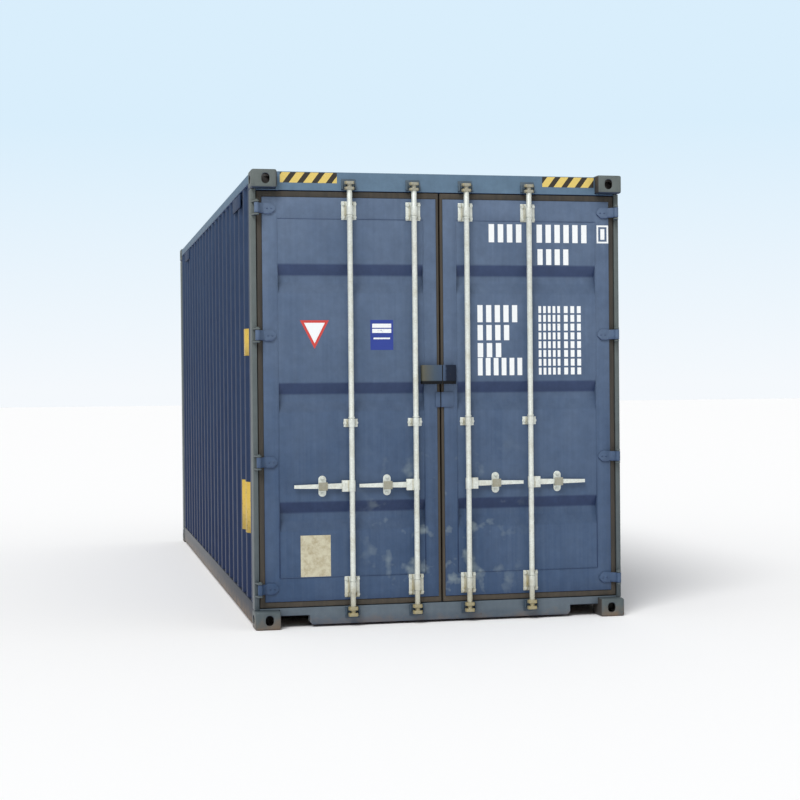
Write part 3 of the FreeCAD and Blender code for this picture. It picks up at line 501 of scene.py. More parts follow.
    # orange peel of a few millimetres, drawn 6 mm so that it shows
    peel = add(tree, "ShaderNodeTexNoise", {"Vector": place, "Scale": 1 / 0.006, "Detail": 2})
    relief = add(tree, "ShaderNodeMath", {0: chip, 1: -0.5, 2: peel}, operation="MULTIPLY_ADD")
    bump = add(tree, "ShaderNodeBump", {"Height": relief, "Strength": 0.18, "Distance": 0.001})
    feed(tree, shader, {"Base Color": base.outputs[2], "Roughness": rough,
                        "Normal": bump, "Specular IOR Level": shine})
    return material


def door_paint():
    """Mid blue, the palest and most rubbed of the blues."""
    return sprayed_paint("door_paint_chalked", colours().door_blue, colours().door_faded,
                         chalk=0.55, scuffs=1.1)


def wall_paint():
    """Deep navy, matt, so that the folds stay dark."""
    return sprayed_paint("wall_paint", colours().wall_blue, colours().wall_faded, chalk=0.5,
                         shine=0.06)


def frame_paint():
    """Grey of the posts and castings, where rust and chalk have eaten the blue."""
    return sprayed_paint("frame_paint_weathered", colours().frame_blue, colours().frame_faded,
                         chalk=0.7, wear=1.0)


def header_paint():
    """Light blue of the top members, which the sun has bleached."""
    return sprayed_paint("header_paint", colours().header_blue, colours().header_faded,
                         chalk=0.6)


def rail_paint():
    """Near black of the bottom rails, stained by road dirt and rust."""
    return sprayed_paint("rail_paint_stained", colours().rail, colours().rail_faded,
                         chalk=0.3, wear=1.2, low_rust=1.2)


def sill_paint():
    """Pale grey of the sill, worn by loads and stained."""
    return sprayed_paint("sill_paint_stained", colours().sill, colours().sill_faded,
                         chalk=0.7, wear=1.0, low_rust=0.85)


def keeper_paint():
    """Grey-blue of the cam keepers, chipped where the cams strike them."""
    return sprayed_paint("keeper_paint_worn", colours().keeper, colours().keeper_faded,
                         chalk=0.5, wear=1.5, low_rust=0.8)


def lock_box_paint():
    """Lock box: painted shade at the left end, weathered olive to the left, blue-grey in the
    middle, dark navy to the right as painted shade, and a black band along the bottom as
    painted shade inside the open underside."""
    material, tree, shader, place = new_finish("lock_box_paint")
    if tree is None:
        return material
    tones = colours()
    axes = add(tree, "ShaderNodeSeparateXYZ", {0: place})
    blot = add(tree, "ShaderNodeTexNoise", {"Vector": place, "Scale": 1 / 0.03, "Detail": 8,
                                            "Roughness": 0.7})
    across = add(tree, "ShaderNodeMath", {0: blot, 1: 0.03, 2: axes.outputs["X"]},
                 operation="MULTIPLY_ADD")
    low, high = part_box("lock_box_left")[0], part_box("lock_box_right")[1]
    along = add(tree, "ShaderNodeMapRange", {"Value": across, "From Min": low.x,
                                             "From Max": high.x})
    # painted shade: the near-black left end and the dark navy right part of this ramp
    base = add(tree, "ShaderNodeValToRGB", {0: along},
               stops=[(0.0, tones.box_end_shade), (0.05, tones.box_olive), (0.42, tones.box_grey),
                      (0.7, tones.box_blue), (0.76, tones.box_right_shade)])
    # painted shade: a black band from about 100 mm down, for the shade inside the open underside
    dark = add(tree, "ShaderNodeMapRange", {"Value": axes.outputs["Z"],
                                            "From Min": high.z - 0.105,
                                            "From Max": high.z - 0.099})
    base = add(tree, "ShaderNodeMix", {0: dark, 6: tones.box_mouth_shade, 7: base}, data_type="RGBA")
    rust = add(tree, "ShaderNodeMapRange", {"Value": blot, "From Min": 0.62,
                                            "From Max": 0.68, "To Max": 0.7})
    base = add(tree, "ShaderNodeMix", {0: rust, 6: base.outputs[2],
                                       7: tones.rust_dust}, data_type="RGBA")
    rough = add(tree, "ShaderNodeMapRange", {"Value": blot, "To Min": 0.4, "To Max": 0.7})
    bump = add(tree, "ShaderNodeBump", {"Height": blot, "Strength": 0.15, "Distance": 0.001})
    feed(tree, shader, {"Base Color": base.outputs[2], "Roughness": rough,
                        "Normal": bump, "Specular IOR Level": 0.15})
    return material


def hot_dip_zinc():
    """Hot-dip galvanised steel: pale, dull, faintly spangled, with ochre dirt in patches."""
    return zinc_coat("hot_dip_zinc", colours().zinc, 0.0)


def cam_zinc():
    """Cast cams and catches: the zinc is half gone, so they are ochre and rough."""
    return zinc_coat("worn_zinc", colours().zinc_worn, 0.12)


def zinc_coat(name, pale, worn):
    """Zinc with its spangle, dirt, painted shade beside the straps and rust specks; worn is the
    share of it that is gone.
    """
    material, tree, shader, place = new_finish(name)
    if tree is None:
        return material
    tones = colours()
    # spangle crystals about 9 mm across
    spangle = add(tree, "ShaderNodeTexVoronoi", {"Vector": place, "Scale": 1 / 0.009})
    grain = add(tree, "ShaderNodeSeparateColor", {0: spangle.outputs["Color"]})
    tone = add(tree, "ShaderNodeMapRange", {"Value": grain, "To Min": 0.9, "To Max": 1.05})
    base = add(tree, "ShaderNodeMix", {0: 1.0, 6: pale, 7: tone},
               data_type="RGBA", blend_type="MULTIPLY")
    # dirt in patches, and all over the bars' feet, where the road spray reaches
    patches = add(tree, "ShaderNodeTexNoise", {"Vector": place, "Scale": 1 / 0.12, "Detail": 8,
                                               "Roughness": 0.7})
    axes = add(tree, "ShaderNodeSeparateXYZ", {0: place})
    foot = add(tree, "ShaderNodeMapRange", {"Value": axes.outputs["Z"], "From Min": 0.12,
                                            "From Max": 0.36, "To Min": 0.55, "To Max": 0.0})
    dirt = add(tree, "ShaderNodeMapRange", {"Value": patches, "From Min": 0.46,
                                            "From Max": 0.74, "To Min": worn,
                                            "To Max": worn + 0.4})
    # painted shade: the ring 20 to 30 mm from the bars' axes, beside the straps, is darkened
    # with the dirt colour where the straps shade the plates
    near = add(tree, "ShaderNodeMath", {0: axes.outputs["X"]}, operation="ABSOLUTE")
    for bar in BAR_AXES:
        away = add(tree, "ShaderNodeMath", {0: near, 1: bar}, operation="SUBTRACT")
        away = add(tree, "ShaderNodeMath", {0: away}, operation="ABSOLUTE")
        strap_shade_ring = add(tree, "ShaderNodeMath", {0: away, 1: 0.0245, 2: 0.0045}, operation="COMPARE")
        dirt = add(tree, "ShaderNodeMath", {0: strap_shade_ring, 1: 0.4, 2: dirt},
                   operation="MULTIPLY_ADD", use_clamp=True)
    # the mask now holds real dirt and the painted shade beside the straps
    dirt = add(tree, "ShaderNodeMath", {0: dirt, 1: foot}, operation="ADD", use_clamp=True)
    base = add(tree, "ShaderNodeMix", {0: dirt, 6: base.outputs[2],
                                       7: tones.zinc_dirt_and_shade}, data_type="RGBA")
    specks = add(tree, "ShaderNodeTexNoise", {"Vector": place, "Scale": 1 / 0.02, "Detail": 9,
                                              "Roughness": 0.8})
    speck = add(tree, "ShaderNodeMapRange", {"Value": specks, "From Min": 0.66 - 0.12 * worn,
                                             "From Max": 0.71 - 0.1 * worn, "To Max": 0.8})
    base = add(tree, "ShaderNodeMix", {0: speck, 6: base.outputs[2],
                                       7: tones.rust_dust}, data_type="RGBA")
    rough = add(tree, "ShaderNodeMapRange", {"Value": patches, "To Min": 0.36, "To Max": 0.6})
    bump = add(tree, "ShaderNodeBump", {"Height": specks, "Strength": 0.15, "Distance": 0.001})
    feed(tree, shader, {"Base Color": base.outputs[2], "Roughness": rough,
                        "Normal": bump, "Metallic": 0.35})
    return material


def extruded_rubber():
    """Extruded EPDM rubber: dull, near black, with rust dust washed over it."""
    material, tree, shader, place = new_finish("extruded_rubber")
    if tree is None:
        return material
    tones = colours()
    tall = add(tree, "ShaderNodeMapping", {"Vector": place, "Scale": (30, 30, 3)})
    dust = add(tree, "ShaderNodeTexNoise", {"Vector": tall, "Scale": 1, "Detail": 7,
                                            "Roughness": 0.65})
    axes = add(tree, "ShaderNodeSeparateXYZ", {0: place})
    seam = add(tree, "ShaderNodeMath", {0: axes.outputs["X"]}, operation="ABSOLUTE")
    seam = add(tree, "ShaderNodeMapRange", {"Value": seam, "From Min": 0.05,
                                            "From Max": 0.4, "To Min": 0.3, "To Max": 0.0})
    low = add(tree, "ShaderNodeMapRange", {"Value": axes.outputs["Z"], "From Min": 0.12,
                                           "From Max": 0.5, "To Min": 0.25, "To Max": 0.0})
    much = add(tree, "ShaderNodeMath", {0: seam, 1: low}, operation="ADD")
    amount = add(tree, "ShaderNodeMapRange", {"Value": dust, "From Min": 0.4,
                                              "From Max": 0.75, "To Max": 0.6})
    amount = add(tree, "ShaderNodeMath", {0: amount, 1: much}, operation="ADD", use_clamp=True)
    base = add(tree, "ShaderNodeMix", {0: amount, 6: tones.rubber,
                                       7: tones.rubber_dust}, data_type="RGBA")
    bump = add(tree, "ShaderNodeBump", {"Height": dust, "Strength": 0.2, "Distance": 0.002})
    feed(tree, shader, {"Base Color": base.outputs[2], "Normal": bump, "Roughness": 0.78})
    return material


def wax_and_hollow_shade():
    """Brushed wax and tar under the floor: dark, patchy, a little shiny; also put inside the
    castings' holes as painted shade.
    """
    material, tree, shader, place = new_finish("underframe_wax_and_hollow_shade")
    if tree is None:
        return material
    patch = add(tree, "ShaderNodeTexNoise", {"Vector": place, "Scale": 1 / 0.15, "Detail": 7,
                                             "Roughness": 0.65})
    base = add(tree, "ShaderNodeMix", {0: patch, 6: colours().underframe,
                                       7: colours().underframe_worn}, data_type="RGBA")
    rough = add(tree, "ShaderNodeMapRange", {"Value": patch, "To Min": 0.45, "To Max": 0.8})
    bump = add(tree, "ShaderNodeBump", {"Height": patch, "Strength": 0.3, "Distance": 0.003})
    feed(tree, shader, {"Base Color": base.outputs[2], "Roughness": rough, "Normal": bump})
    return material


def marine_plywood():
    """Hardwood plywood floor: long grain along the container, joints between boards, worn."""
    material, tree, shader, place = new_finish("marine_plywood")
    if tree is None:
        return material
    tones = colours()
    along = add(tree, "ShaderNodeMapping", {"Vector": place, "Scale": (90, 4, 90)})
    grain = add(tree, "ShaderNodeTexNoise", {"Vector": along, "Scale": 1, "Detail": 7,
                                             "Roughness": 0.6, "Distortion": 0.4})
    base = add(tree, "ShaderNodeMix", {0: grain, 6: tones.plywood_dark,
                                       7: tones.plywood}, data_type="RGBA")
    # panels 1165 mm wide and 1200 mm long with 4 mm joints
    panels = add(tree, "ShaderNodeTexBrick",
                 {"Vector": place, "Color1": WHITE, "Color2": tones.board_tint,
                  "Mortar": tones.board_joint, "Scale": 1.0, "Mortar Size": 0.002,
                  "Brick Width": 1.165, "Row Height": 1.2}, offset=0.0)
    base = add(tree, "ShaderNodeMix", {0: 1.0, 6: base.outputs[2], 7: panels.outputs["Color"]},
               data_type="RGBA", blend_type="MULTIPLY")
    bump = add(tree, "ShaderNodeBump", {"Height": grain, "Strength": 0.25, "Distance": 0.001})
    feed(tree, shader, {"Base Color": base.outputs[2], "Normal": bump, "Roughness": 0.62})
    return material


def cast_vinyl(name, colour, worn, amount=0.5):
    """Cast vinyl film: flat colour, worn off in specks that show what is under it."""
    material, tree, shader, place = new_finish(name)
    if tree is None:
        return material
    specks = add(tree, "ShaderNodeTexNoise", {"Vector": place, "Scale": 1 / 0.02, "Detail": 9,
                                              "Roughness": 0.72})
    gone = add(tree, "ShaderNodeMapRange", {"Value": specks, "From Min": 0.72 - 0.2 * amount,
                                            "From Max": 0.8 - 0.15 * amount})
    base = add(tree, "ShaderNodeMix", {0: gone, 6: colour, 7: worn}, data_type="RGBA")
    rough = add(tree, "ShaderNodeMapRange", {"Value": specks, "To Min": 0.35, "To Max": 0.6})
    feed(tree, shader, {"Base Color": base.outputs[2], "Roughness": rough})
    return material


def hazard_vinyl():
    """Slanted bands of reflective film, 53 mm of yellow to 39 mm of dark."""
    material, tree, shader, place = new_finish("hazard_vinyl")
    if tree is None:
        return material
    tones = colours()
    axes = add(tree, "ShaderNodeSeparateXYZ", {0: place})
    slant = add(tree, "ShaderNodeMath", {0: axes.outputs["Z"], 1: -0.75, 2: axes.outputs["X"]},
                operation="MULTIPLY_ADD")
    bands = add(tree, "ShaderNodeMath", {0: slant, 1: 0.092}, operation="FLOORED_MODULO")
    dark = add(tree, "ShaderNodeMath", {0: bands, 1: 0.039}, operation="LESS_THAN")
    base = add(tree, "ShaderNodeMix", {0: dark, 6: tones.band_yellow,
                                       7: tones.stripe_dark}, data_type="RGBA")
    specks = add(tree, "ShaderNodeTexNoise", {"Vector": place, "Scale": 1 / 0.02, "Detail": 9,
                                              "Roughness": 0.72})
    gone = add(tree, "ShaderNodeMapRange", {"Value": specks, "From Min": 0.64, "From Max": 0.7})
    base = add(tree, "ShaderNodeMix", {0: gone, 6: base.outputs[2],
                                       7: tones.frame_blue}, data_type="RGBA")
    feed(tree, shader, {"Base Color": base.outputs[2], "Roughness": 0.4})
    return material


def etched_plate():
    """An etched aluminium plate gone beige, stained in patches."""
    material, tree, shader, place = new_finish("stained_plate")
    if tree is None:
        return material
    tones = colours()
    stains = add(tree, "ShaderNodeTexNoise", {"Vector": place, "Scale": 1 / 0.035, "Detail": 8,
                                              "Roughness": 0.7})
    much = add(tree, "ShaderNodeMapRange", {"Value": stains, "From Min": 0.42,
                                            "From Max": 0.75})
    base = add(tree, "ShaderNodeMix", {0: much, 6: tones.plate_beige,
                                       7: tones.plate_stain}, data_type="RGBA")
    feed(tree, shader, {"Base Color": base.outputs[2], "Roughness": 0.55, "Metallic": 0.1})
    return material


# ---- pieces --------------------------------------------------------------------------------

class CONTAINER_OT_castings(bpy.types.Operator):
    """Corner castings with their rounded, weathered edges"""
    bl_idname = "container.castings"
    bl_label = "Corner Castings"

    def execute(self, context):
        wall = 0.006             # deeper than this is inside a casting
        for node in ("corner_castings_bottom", "corner_castings_top"):
            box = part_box(node)
            piece = finished(node, frame_paint(),
                             (sizes().casting_round, 4, casting_edges(box, True)),
                             (sizes().forged_round, 2, casting_edges(box, False)))
            low, high = box
            for vertex in piece.data.vertices:
                # rounding three edges into one corner can push it out by half a millimetre
                vertex.co = [min(max(vertex.co[n], low[n]), high[n]) for n in range(3)]
            # painted shade: faces deep inside the castings' holes get the dark wax, standing in for
            # the shade in the hollows
            piece.data.materials.append(wax_and_hollow_shade())
            for face in piece.data.polygons:
                depth = min(high.x - abs(face.center.x), high.y - abs(face.center.y),
                            face.center.z - low.z, high.z - face.center.z)
                face.material_index = int(depth > wall)
        return {"FINISHED"}


class CONTAINER_OT_frame_members(bpy.types.Operator):
    """Posts, header, sill and rails"""
    bl_idname = "container.frame_members"
    bl_label = "Posts and Rails"

    def execute(self, context):
        edge = (sizes().plate_round, 2, None)
        for side, _ in SIDES:
            for node in ("rear_post_", "front_post_"):
                finished(node + side, frame_paint(), edge)
            finished("top_rail_" + side, header_paint(), edge)
            finished("bottom_rail_" + side, rail_paint(), (sizes().plate_round / 2, 2, None))
        for node, paint in (("door_header", header_paint), ("front_top_rail", header_paint),
                            ("door_sill", sill_paint), ("front_bottom_rail", rail_paint)):
            finished(node, paint(), edge)
        return {"FINISHED"}


class CONTAINER_OT_walls(bpy.types.Operator):
    """Corrugated side walls, front wall and roof, with rounded bends, and the vent covers"""
    bl_idname = "container.walls"
    bl_label = "Walls and Roof"

    def execute(self, context):
        upright = (sizes().sheet_bend, 2, bend_along(2))
        for node in ("side_wall_left", "side_wall_right", "front_wall"):
            finished(node, wall_paint(), upright)
        finished("roof", wall_paint(), (sizes().sheet_bend, 2, bend_along(0)))
        finished("vents", wall_paint(), (sizes().plate_round, 2, None))
        return {"FINISHED"}


class CONTAINER_OT_doors(bpy.types.Operator):
    """Door frames and recessed panels with the weld beads between them"""
    bl_idname = "container.doors"
    bl_label = "Door Leaves"

    def execute(self, context):
        weld = sizes().weld
        for side, _ in SIDES:
            finished("door_frame_" + side, door_paint(), (sizes().plate_round, 2, None))
            finished("door_panel_" + side, door_paint(), (sizes().sheet_bend, 2, bend_along(0)))
            low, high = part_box("door_panel_" + side)
            corners = [(x, DOOR_FACE, z) for x, z in ((low.x, low.z), (high.x, low.z),
                                                      (high.x, high.z), (low.x, high.z))]
            beads = [bead(start, end, weld)
                     for start, end in zip(corners, corners[1:] + corners[:1])]
            settle(joined(beads), "door_welds_" + side, side + "_door", door_paint())
        return {"FINISHED"}


class CONTAINER_OT_seals(bpy.types.Operator):
    """Rubber seals round the door leaves"""
    bl_idname = "container.seals"
    bl_label = "Door Seals"

    def execute(self, context):
        for side, _ in SIDES:
            finished("door_gasket_" + side, extruded_rubber(), (sizes().seal_round, 3, None))
        return {"FINISHED"}


class CONTAINER_OT_hinges(bpy.types.Operator):
    """Hinge blades, lugs and pins, with the rivets of the blades"""
    bl_idname = "container.hinges"
    bl_label = "Hinges"

    def execute(self, context):
        blade_high, blade_thick, hinges = 0.072, 0.010, 4
        for side, way in SIDES:
            finished("hinge_lugs_" + side, frame_paint(), (sizes().plate_round, 2, None))
            finished("hinge_blades_" + side, door_paint(), (sizes().forged_round, 2, None))
            low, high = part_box("hinge_blades_" + side)
            step = (high.z - low.z - blade_high) / (hinges - 1)
            end = high.x if way < 0 else low.x
            spots = [(end + way * reach, DOOR_FACE - blade_thick,
                      low.z + blade_high / 2 + step * n)
                     for n in range(hinges) for reach in (0.024, 0.052)]
            settle(copied(rivet_head(), spots), "hinge_rivets_" + side, side + "_door",
                   door_paint())
        return {"FINISHED"}


class CONTAINER_OT_locking_gear(bpy.types.Operator):
    """Locking bars, cams, keepers, brackets and handles, all galvanised"""
    bl_idname = "container.locking_gear"
    bl_label = "Locking Gear"

    def execute(self, context):
        zinc = hot_dip_zinc()
        forged = (sizes().forged_round, 2, None)
        finished("cam_keepers", keeper_paint(), (sizes().plate_round, 2, None))
        bars = [-BAR_AXES[0], -BAR_AXES[1], BAR_AXES[1], BAR_AXES[0]]
        for number, bar in enumerate(bars, 1):
            finished(f"lock_bar_{number}", zinc, (sizes().bar_round, 2, None))
            finished(f"cams_{number}", cam_zinc(), forged)
            finished(f"handle_{number}", zinc, forged)
            settle(self.catch(bar + math.copysign(CATCH_REACH, bar),
                              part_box(f"handle_{number}")[0].y),
                   f"handle_catch_{number}", f"lever_{number}", cam_zinc())
        for side, way in SIDES:
            finished("bar_brackets_" + side, zinc, (sizes().bracket_round, 2, None))
            finished("handle_keepers_" + side, zinc, (sizes().keeper_round, 2, None))
            settle(copied(bolt_head(), self.bolts(way)), "gear_bolts_" + side, side + "_door",
                   zinc)
        return {"FINISHED"}

    def catch(self, x, front):
        """A ridged catch over the front of a handle."""
        half_wide, half_high, proud = 0.029, 0.026, 0.003
        plate = box_piece((x - half_wide, front - proud, CATCH_LEVEL - half_high),
                          (x + half_wide, front + proud, CATCH_LEVEL + half_high), 0.0025, 3)
        ridges = [box_piece((middle - 0.004, front - 0.006, CATCH_LEVEL - 0.022),
                            (middle + 0.004, front + 0.001, CATCH_LEVEL + 0.022), 0.0028, 2)
                  for middle in (x - 0.019, x + 0.019)]
        return joined([plate] + ridges)

    def bolts(self, way):
        """Where the bolts of one door's brackets, guides and handle keepers sit."""
        strap_face, keeper_face = DOOR_FACE - 0.004, DOOR_FACE - 0.005
        spots = []
        for bar in BAR_AXES:
            for level, reach in BRACKETS:
                spots += [(way * bar + dx, strap_face, level + dz)
                          for dx in (-0.036, 0.036) for dz in (-reach, reach)]
            spots += [(way * bar + dx, strap_face, GUIDE_LEVEL) for dx in (-0.034, 0.034)]
            spots += [(way * (bar + CATCH_REACH), keeper_face, CATCH_LEVEL + dz)
                      for dz in (-0.052, 0.052)]
        return spots


class CONTAINER_OT_lock_box(bpy.types.Operator):
    """Lock box over the seam and the plate under it"""
    bl_idname = "container.lock_box"
    bl_label = "Lock Box"

    def execute(self, context):
        box_high = 0.13          # below this the piece is the plate, in the door's paint
        for side, _ in SIDES:
            box = finished("lock_box_" + side, lock_box_paint(),
                           (sizes().plate_round / 2, 2, None))
            box.data.materials.append(door_paint())
            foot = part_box("lock_box_" + side)[1].z - box_high
            for face in box.data.polygons:
                face.material_index = int(face.center.z < foot)
        return {"FINISHED"}


class CONTAINER_OT_floor(bpy.types.Operator):
    """Plywood floor and the cross members under it"""
    bl_idname = "container.floor"
    bl_label = "Floor"

    def execute(self, context):
        finished("floor", marine_plywood(), (sizes().plate_round / 2, 2, None))
        finished("cross_members", wax_and_hollow_shade(), (sizes().member_round, 2, None))
        return {"FINISHED"}


class CONTAINER_OT_markings(bpy.types.Operator):
    """Plain vinyl blocks, triangle, patch, plate, bands and strips, with no lettering"""
    bl_idname = "container.markings"
    bl_label = "Markings"

    def block(self, x0, x1, z0, z1, y=DOOR_FACE, out=1.0):
        """A flat block on an upright face, sunk a little so that no gap shows."""
        sunk = 0.0002
        return box_piece((x0, y - sizes().vinyl * out, z0), (x1, y + sunk, z1))

    def row(self, x0, x1, z0, z1, count, share=0.6):
        """A line of equal blocks, each as wide as its share of the pitch."""
        step = (x1 - x0) / (count - 1 + share)
        return [self.block(x0 + n * step, x0 + n * step + share * step, z0, z1)
                for n in range(count)]

    def wall_film(self, y0, y1, z0, z1):
        """Film on the outer face of the left wall, following its bends."""
        piece = softened("side_wall_left", (sizes().sheet_bend, 2, bend_along(2)))
        bpy.ops.object.mode_set(mode="EDIT")
        for point, away in (((0, y0, 0), (0, -1, 0)), ((0, y1, 0), (0, 1, 0)),
                            ((0, 0, z0), (0, 0, -1)), ((0, 0, z1), (0, 0, 1))):
            bpy.ops.mesh.select_all(action="SELECT")
            bpy.ops.mesh.bisect(plane_co=point, plane_no=away, clear_outer=True)
        shape = bmesh.from_edit_mesh(piece.data)
        inner = [face for face in shape.faces if face.normal.x > -0.2]
        bmesh.ops.delete(shape, geom=inner, context="FACES")
        bmesh.update_edit_mesh(piece.data)
        bpy.ops.object.mode_set(mode="OBJECT")
        film = piece.modifiers.new("film", "SOLIDIFY")
        film.thickness, film.offset = sizes().vinyl * 1.5, 1
        bpy.ops.object.modifier_apply(modifier=film.name)
        return piece

    def execute(self, context):
        tones = colours()
        self.white_blocks(tones)
        self.triangle(tones)
        self.patch_and_plate(tones)
        # bands on the header, strips by the left rear post
        for name, x0, x1 in (("left", -1.030, -0.665), ("right", 0.697, 1.050)):
            settle(self.block(x0, x1, 2.820, 2.886, y=HEADER_FACE), "header_bands_" + name,
                   "container", hazard_vinyl())
        strips = [self.wall_film(-2.64, -2.46, 1.735, 1.911),
                  self.wall_film(-2.64, -2.26, 0.574, 0.908)]
        settle(joined(strips), "side_strips", "container",
               cast_vinyl("yellow_vinyl", tones.stripe_yellow, tones.stripe_dark, 0.8))
        return {"FINISHED"}

    def white_blocks(self, tones):
        """Rows of plain blocks on the right door: two at the top, one under them, four in a
        list, and a table of two columns."""
        blocks = []
        for x0, x1, z0, z1, count in (
                (0.33, 0.551, 2.455, 2.573, 4), (0.654, 0.996, 2.455, 2.573, 6),
                (0.659, 0.87, 2.31, 2.413, 4), (0.25, 0.518, 1.936, 2.047, 5),
                (0.25, 0.463, 1.819, 1.918, 4), (0.25, 0.408, 1.709, 1.801, 3),
                (0.25, 0.549, 1.591, 1.704, 6)):
            blocks += self.row(x0, x1, z0, z1, count)
        foot, top, lines, gap = 1.587, 2.047, 8, 0.006
        pitch = (top - foot) / lines
        for n in range(lines):
            low = foot + n * pitch
            for x0, x1, count in ((0.662, 0.81, 5), (0.836, 0.952, 3)):
                blocks += self.row(x0, x1, low + gap, low + pitch - gap, count, 0.58)
        # one block stands in a frame of its own
        rim = 0.011
        x0, x1, z0, z1 = 1.066, 1.146, 2.455, 2.573
        blocks += [self.block(x0, x1, z0, z0 + rim), self.block(x0, x1, z1 - rim, z1),
                   self.block(x0, x0 + rim, z0 + rim, z1 - rim),
                   self.block(x1 - rim, x1, z0 + rim, z1 - rim),
                   self.block(x0 + 0.026, x1 - 0.026, z0 + 0.024, z1 - 0.024)]
        settle(joined(blocks), "white_blocks", "right_door",
               cast_vinyl("white_vinyl", tones.white, tones.door_blue, 0.35))

    def triangle(self, tones):
        """A blank triangle on the left door, point down, with a red rim."""
        wide, high, rim = 0.186, 0.181, 0.016
        bpy.ops.mesh.primitive_circle_add(vertices=3, radius=1, fill_type="NGON",
                                          location=(0, 0, 0), rotation=(math.pi / 2, 0, 0))
        sign = bpy.context.object
        bpy.ops.object.transform_apply(location=True, rotation=True, scale=True)
        low, top = Vector(sign.bound_box[0]), Vector(sign.bound_box[6])
        flip = Matrix.Diagonal((wide / (top.x - low.x), 1, -high / (top.z - low.z), 1))
        sign.data.transform(flip)
        centre = sum((v.co for v in sign.data.vertices), Vector()) / 3
        peak = max(v.co.z for v in sign.data.vertices)
        sign.data.transform(Matrix.Translation((SIGN_X - centre.x, DOOR_FACE, SIGN_TOP - peak)))
        self.face_outwards(sign)
        bpy.ops.object.mode_set(mode="EDIT")
        bpy.ops.mesh.select_all(action="SELECT")
        bpy.ops.mesh.extrude_region_move(
            TRANSFORM_OT_translate={"value": (0, -sizes().vinyl, 0)})
        bpy.ops.mesh.inset(thickness=rim)
        bpy.ops.object.mode_set(mode="OBJECT")
        sign.data.materials.append(cast_vinyl("red_vinyl", tones.signal_red, tones.white, 0.4))
        sign.data.materials.append(cast_vinyl("sign_white", tones.white, tones.door_faded, 0.3))
        fronts = [face for face in sign.data.polygons
                  if face.center.y < DOOR_FACE - sizes().vinyl / 2]
        max(fronts, key=lambda face: face.area).material_index = 1
        self.face_outwards(sign)
        settle(sign, "blank_triangle", "left_door")

    def face_outwards(self, piece):
        """Turns the faces of a piece that was flipped."""
        only(piece)
        bpy.ops.object.mode_set(mode="EDIT")
        bpy.ops.mesh.select_all(action="SELECT")
        bpy.ops.mesh.normals_make_consistent(inside=False)
        bpy.ops.object.mode_set(mode="OBJECT")

    def patch_and_plate(self, tones):
        """A blue patch with plain bars on it, and the worn plate, both on the left door."""
        settle(self.block(-0.458, -0.309, 1.759, 1.951), "blue_patch", "left_door",
               cast_vinyl("blue_vinyl", tones.patch_blue, tones.white, 0.35))
        bars = [self.block(x0, x1, z0, z1, out=2.0)
                for x0, x1, z0, z1 in ((-0.446, -0.322, 1.868, 1.894),
                                       (-0.446, -0.322, 1.901, 1.927),
                                       (-0.438, -0.33, 1.828, 1.838))]
        settle(joined(bars), "patch_bars", "left_door",
               cast_vinyl("patch_white", tones.white, tones.patch_blue, 0.7))
        plate_thick = 0.0012
        settle(box_piece((-0.921, DOOR_FACE - plate_thick, 0.319), (-0.728, DOOR_FACE, 0.584)),
               "worn_plate", "left_door", etched_plate())


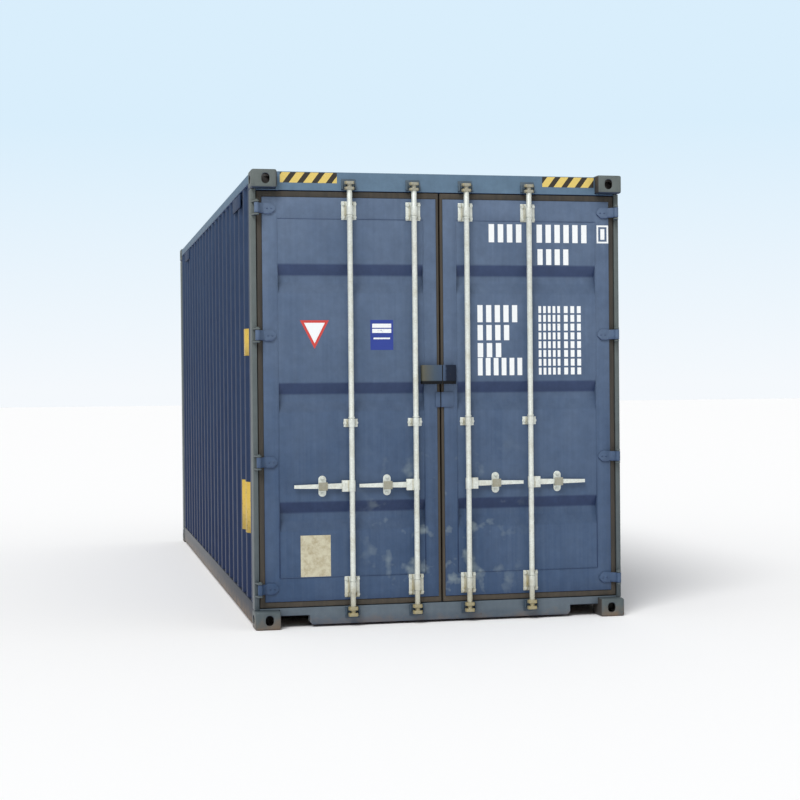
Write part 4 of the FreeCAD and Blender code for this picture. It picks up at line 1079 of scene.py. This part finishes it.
class CONTAINER_OT_stage(bpy.types.Operator):
    """Camera, pale floor and soft light"""
    bl_idname = "container.stage"
    bl_label = "Stage"

    def execute(self, context):
        scene = context.scene
        self.camera(scene)
        self.ground()
        self.backdrop(scene)
        self.sun(scene)
        return {"FINISHED"}

    def camera(self, scene):
        """A long lens from the left, at about half the container's height."""
        eye = (-2.3985, -12.9313, 1.5331)
        yaw, pitch, roll = 0.2106, -0.0094, -0.0092
        ahead = Vector((math.sin(yaw) * math.cos(pitch), math.cos(yaw) * math.cos(pitch),
                        math.sin(pitch)))
        level = Vector((math.cos(yaw), -math.sin(yaw), 0))
        above = level.cross(ahead)
        right = math.cos(roll) * level + math.sin(roll) * above
        up = -math.sin(roll) * level + math.cos(roll) * above
        lens = bpy.data.cameras.new("camera")
        lens.lens, lens.sensor_width, lens.clip_end = 71.44, 36, 500
        camera = bpy.data.objects.new("camera", lens)
        scene.collection.objects.link(camera)
        turn = Matrix((right, up, -ahead)).transposed().to_4x4()
        camera.matrix_world = Matrix.Translation(eye) @ turn
        scene.camera = camera

    def ground(self):
        bpy.ops.mesh.primitive_plane_add(size=240, location=(0, 0, 0))
        ground = bpy.context.object
        ground.name = "stage_floor"
        material = bpy.data.materials.new("stage_floor")
        material.use_nodes = True
        feed(material.node_tree, material.node_tree.nodes["Principled BSDF"],
             {"Base Color": colours().floor, "Roughness": 0.9})
        ground.data.materials.append(material)

    def backdrop(self, scene):
        """A pale sky that whitens to the horizon; what lights the container is dimmer."""
        tones = colours()
        world = bpy.data.worlds.new("soft_backdrop")
        world.use_nodes = True
        tree = world.node_tree
        toward = add(tree, "ShaderNodeSeparateXYZ",
                     {0: add(tree, "ShaderNodeTexCoord").outputs["Generated"]})
        pale = add(tree, "ShaderNodeValToRGB", {0: toward.outputs["Z"]},
                   stops=[(0.0, tones.horizon), (0.16, tones.sky), (1.0, tones.sky)])
        seen = add(tree, "ShaderNodeBackground", {0: pale, 1: 1.0})
        lights = tree.nodes["Background"]
        feed(tree, lights, {"Color": tones.daylight, "Strength": 0.6})
        which = add(tree, "ShaderNodeLightPath")
        both = add(tree, "ShaderNodeMixShader", {0: which.outputs["Is Camera Ray"],
                                                 1: lights, 2: seen})
        tree.links.new(both.outputs[0], tree.nodes["World Output"].inputs["Surface"])
        scene.world = world
        scene.view_settings.view_transform = "Standard"

    def sun(self, scene):
        """A wide, soft sun from the upper left, which leaves no hard shadow."""
        lamp = bpy.data.lights.new("key", "SUN")
        lamp.energy, lamp.angle = 2.0, math.radians(28)
        holder = bpy.data.objects.new("key", lamp)
        holder.rotation_euler = Vector((0.37, 0.53, -0.77)).to_track_quat("-Z", "Y").to_euler()
        scene.collection.objects.link(holder)


class CONTAINER_PT_sidebar(bpy.types.Panel):
    """Lists the container's pieces"""
    bl_idname = "CONTAINER_PT_sidebar"
    bl_label = "Freight Container"
    bl_space_type = "VIEW_3D"
    bl_region_type = "UI"
    bl_category = "Container"

    def draw(self, context):
        for operator in OPERATORS:
            self.layout.operator(operator.bl_idname)
        for group in (context.scene.container_sizes, context.scene.container_colours):
            box = self.layout.box()
            for name in group.__annotations__:
                box.prop(group, name)


OPERATORS = (CONTAINER_OT_castings, CONTAINER_OT_frame_members, CONTAINER_OT_walls,
             CONTAINER_OT_doors, CONTAINER_OT_seals, CONTAINER_OT_hinges,
             CONTAINER_OT_locking_gear, CONTAINER_OT_lock_box, CONTAINER_OT_floor,
             CONTAINER_OT_markings, CONTAINER_OT_stage)
CLASSES = (CONTAINER_PG_colours, CONTAINER_PG_sizes) + OPERATORS + (CONTAINER_PT_sidebar,)


def register():
    for item in CLASSES:
        bpy.utils.register_class(item)
    bpy.types.Scene.container_colours = bpy.props.PointerProperty(type=CONTAINER_PG_colours)
    bpy.types.Scene.container_sizes = bpy.props.PointerProperty(type=CONTAINER_PG_sizes)


def unregister():
    del bpy.types.Scene.container_sizes
    del bpy.types.Scene.container_colours
    for item in reversed(CLASSES):
        bpy.utils.unregister_class(item)


def main():
    register()
    bpy.ops.container.castings()
    bpy.ops.container.frame_members()
    bpy.ops.container.walls()
    bpy.ops.container.doors()
    bpy.ops.container.seals()
    bpy.ops.container.hinges()
    bpy.ops.container.locking_gear()
    bpy.ops.container.lock_box()
    bpy.ops.container.floor()
    bpy.ops.container.markings()
    bpy.ops.container.stage()


if __name__ == "__main__":
    main()
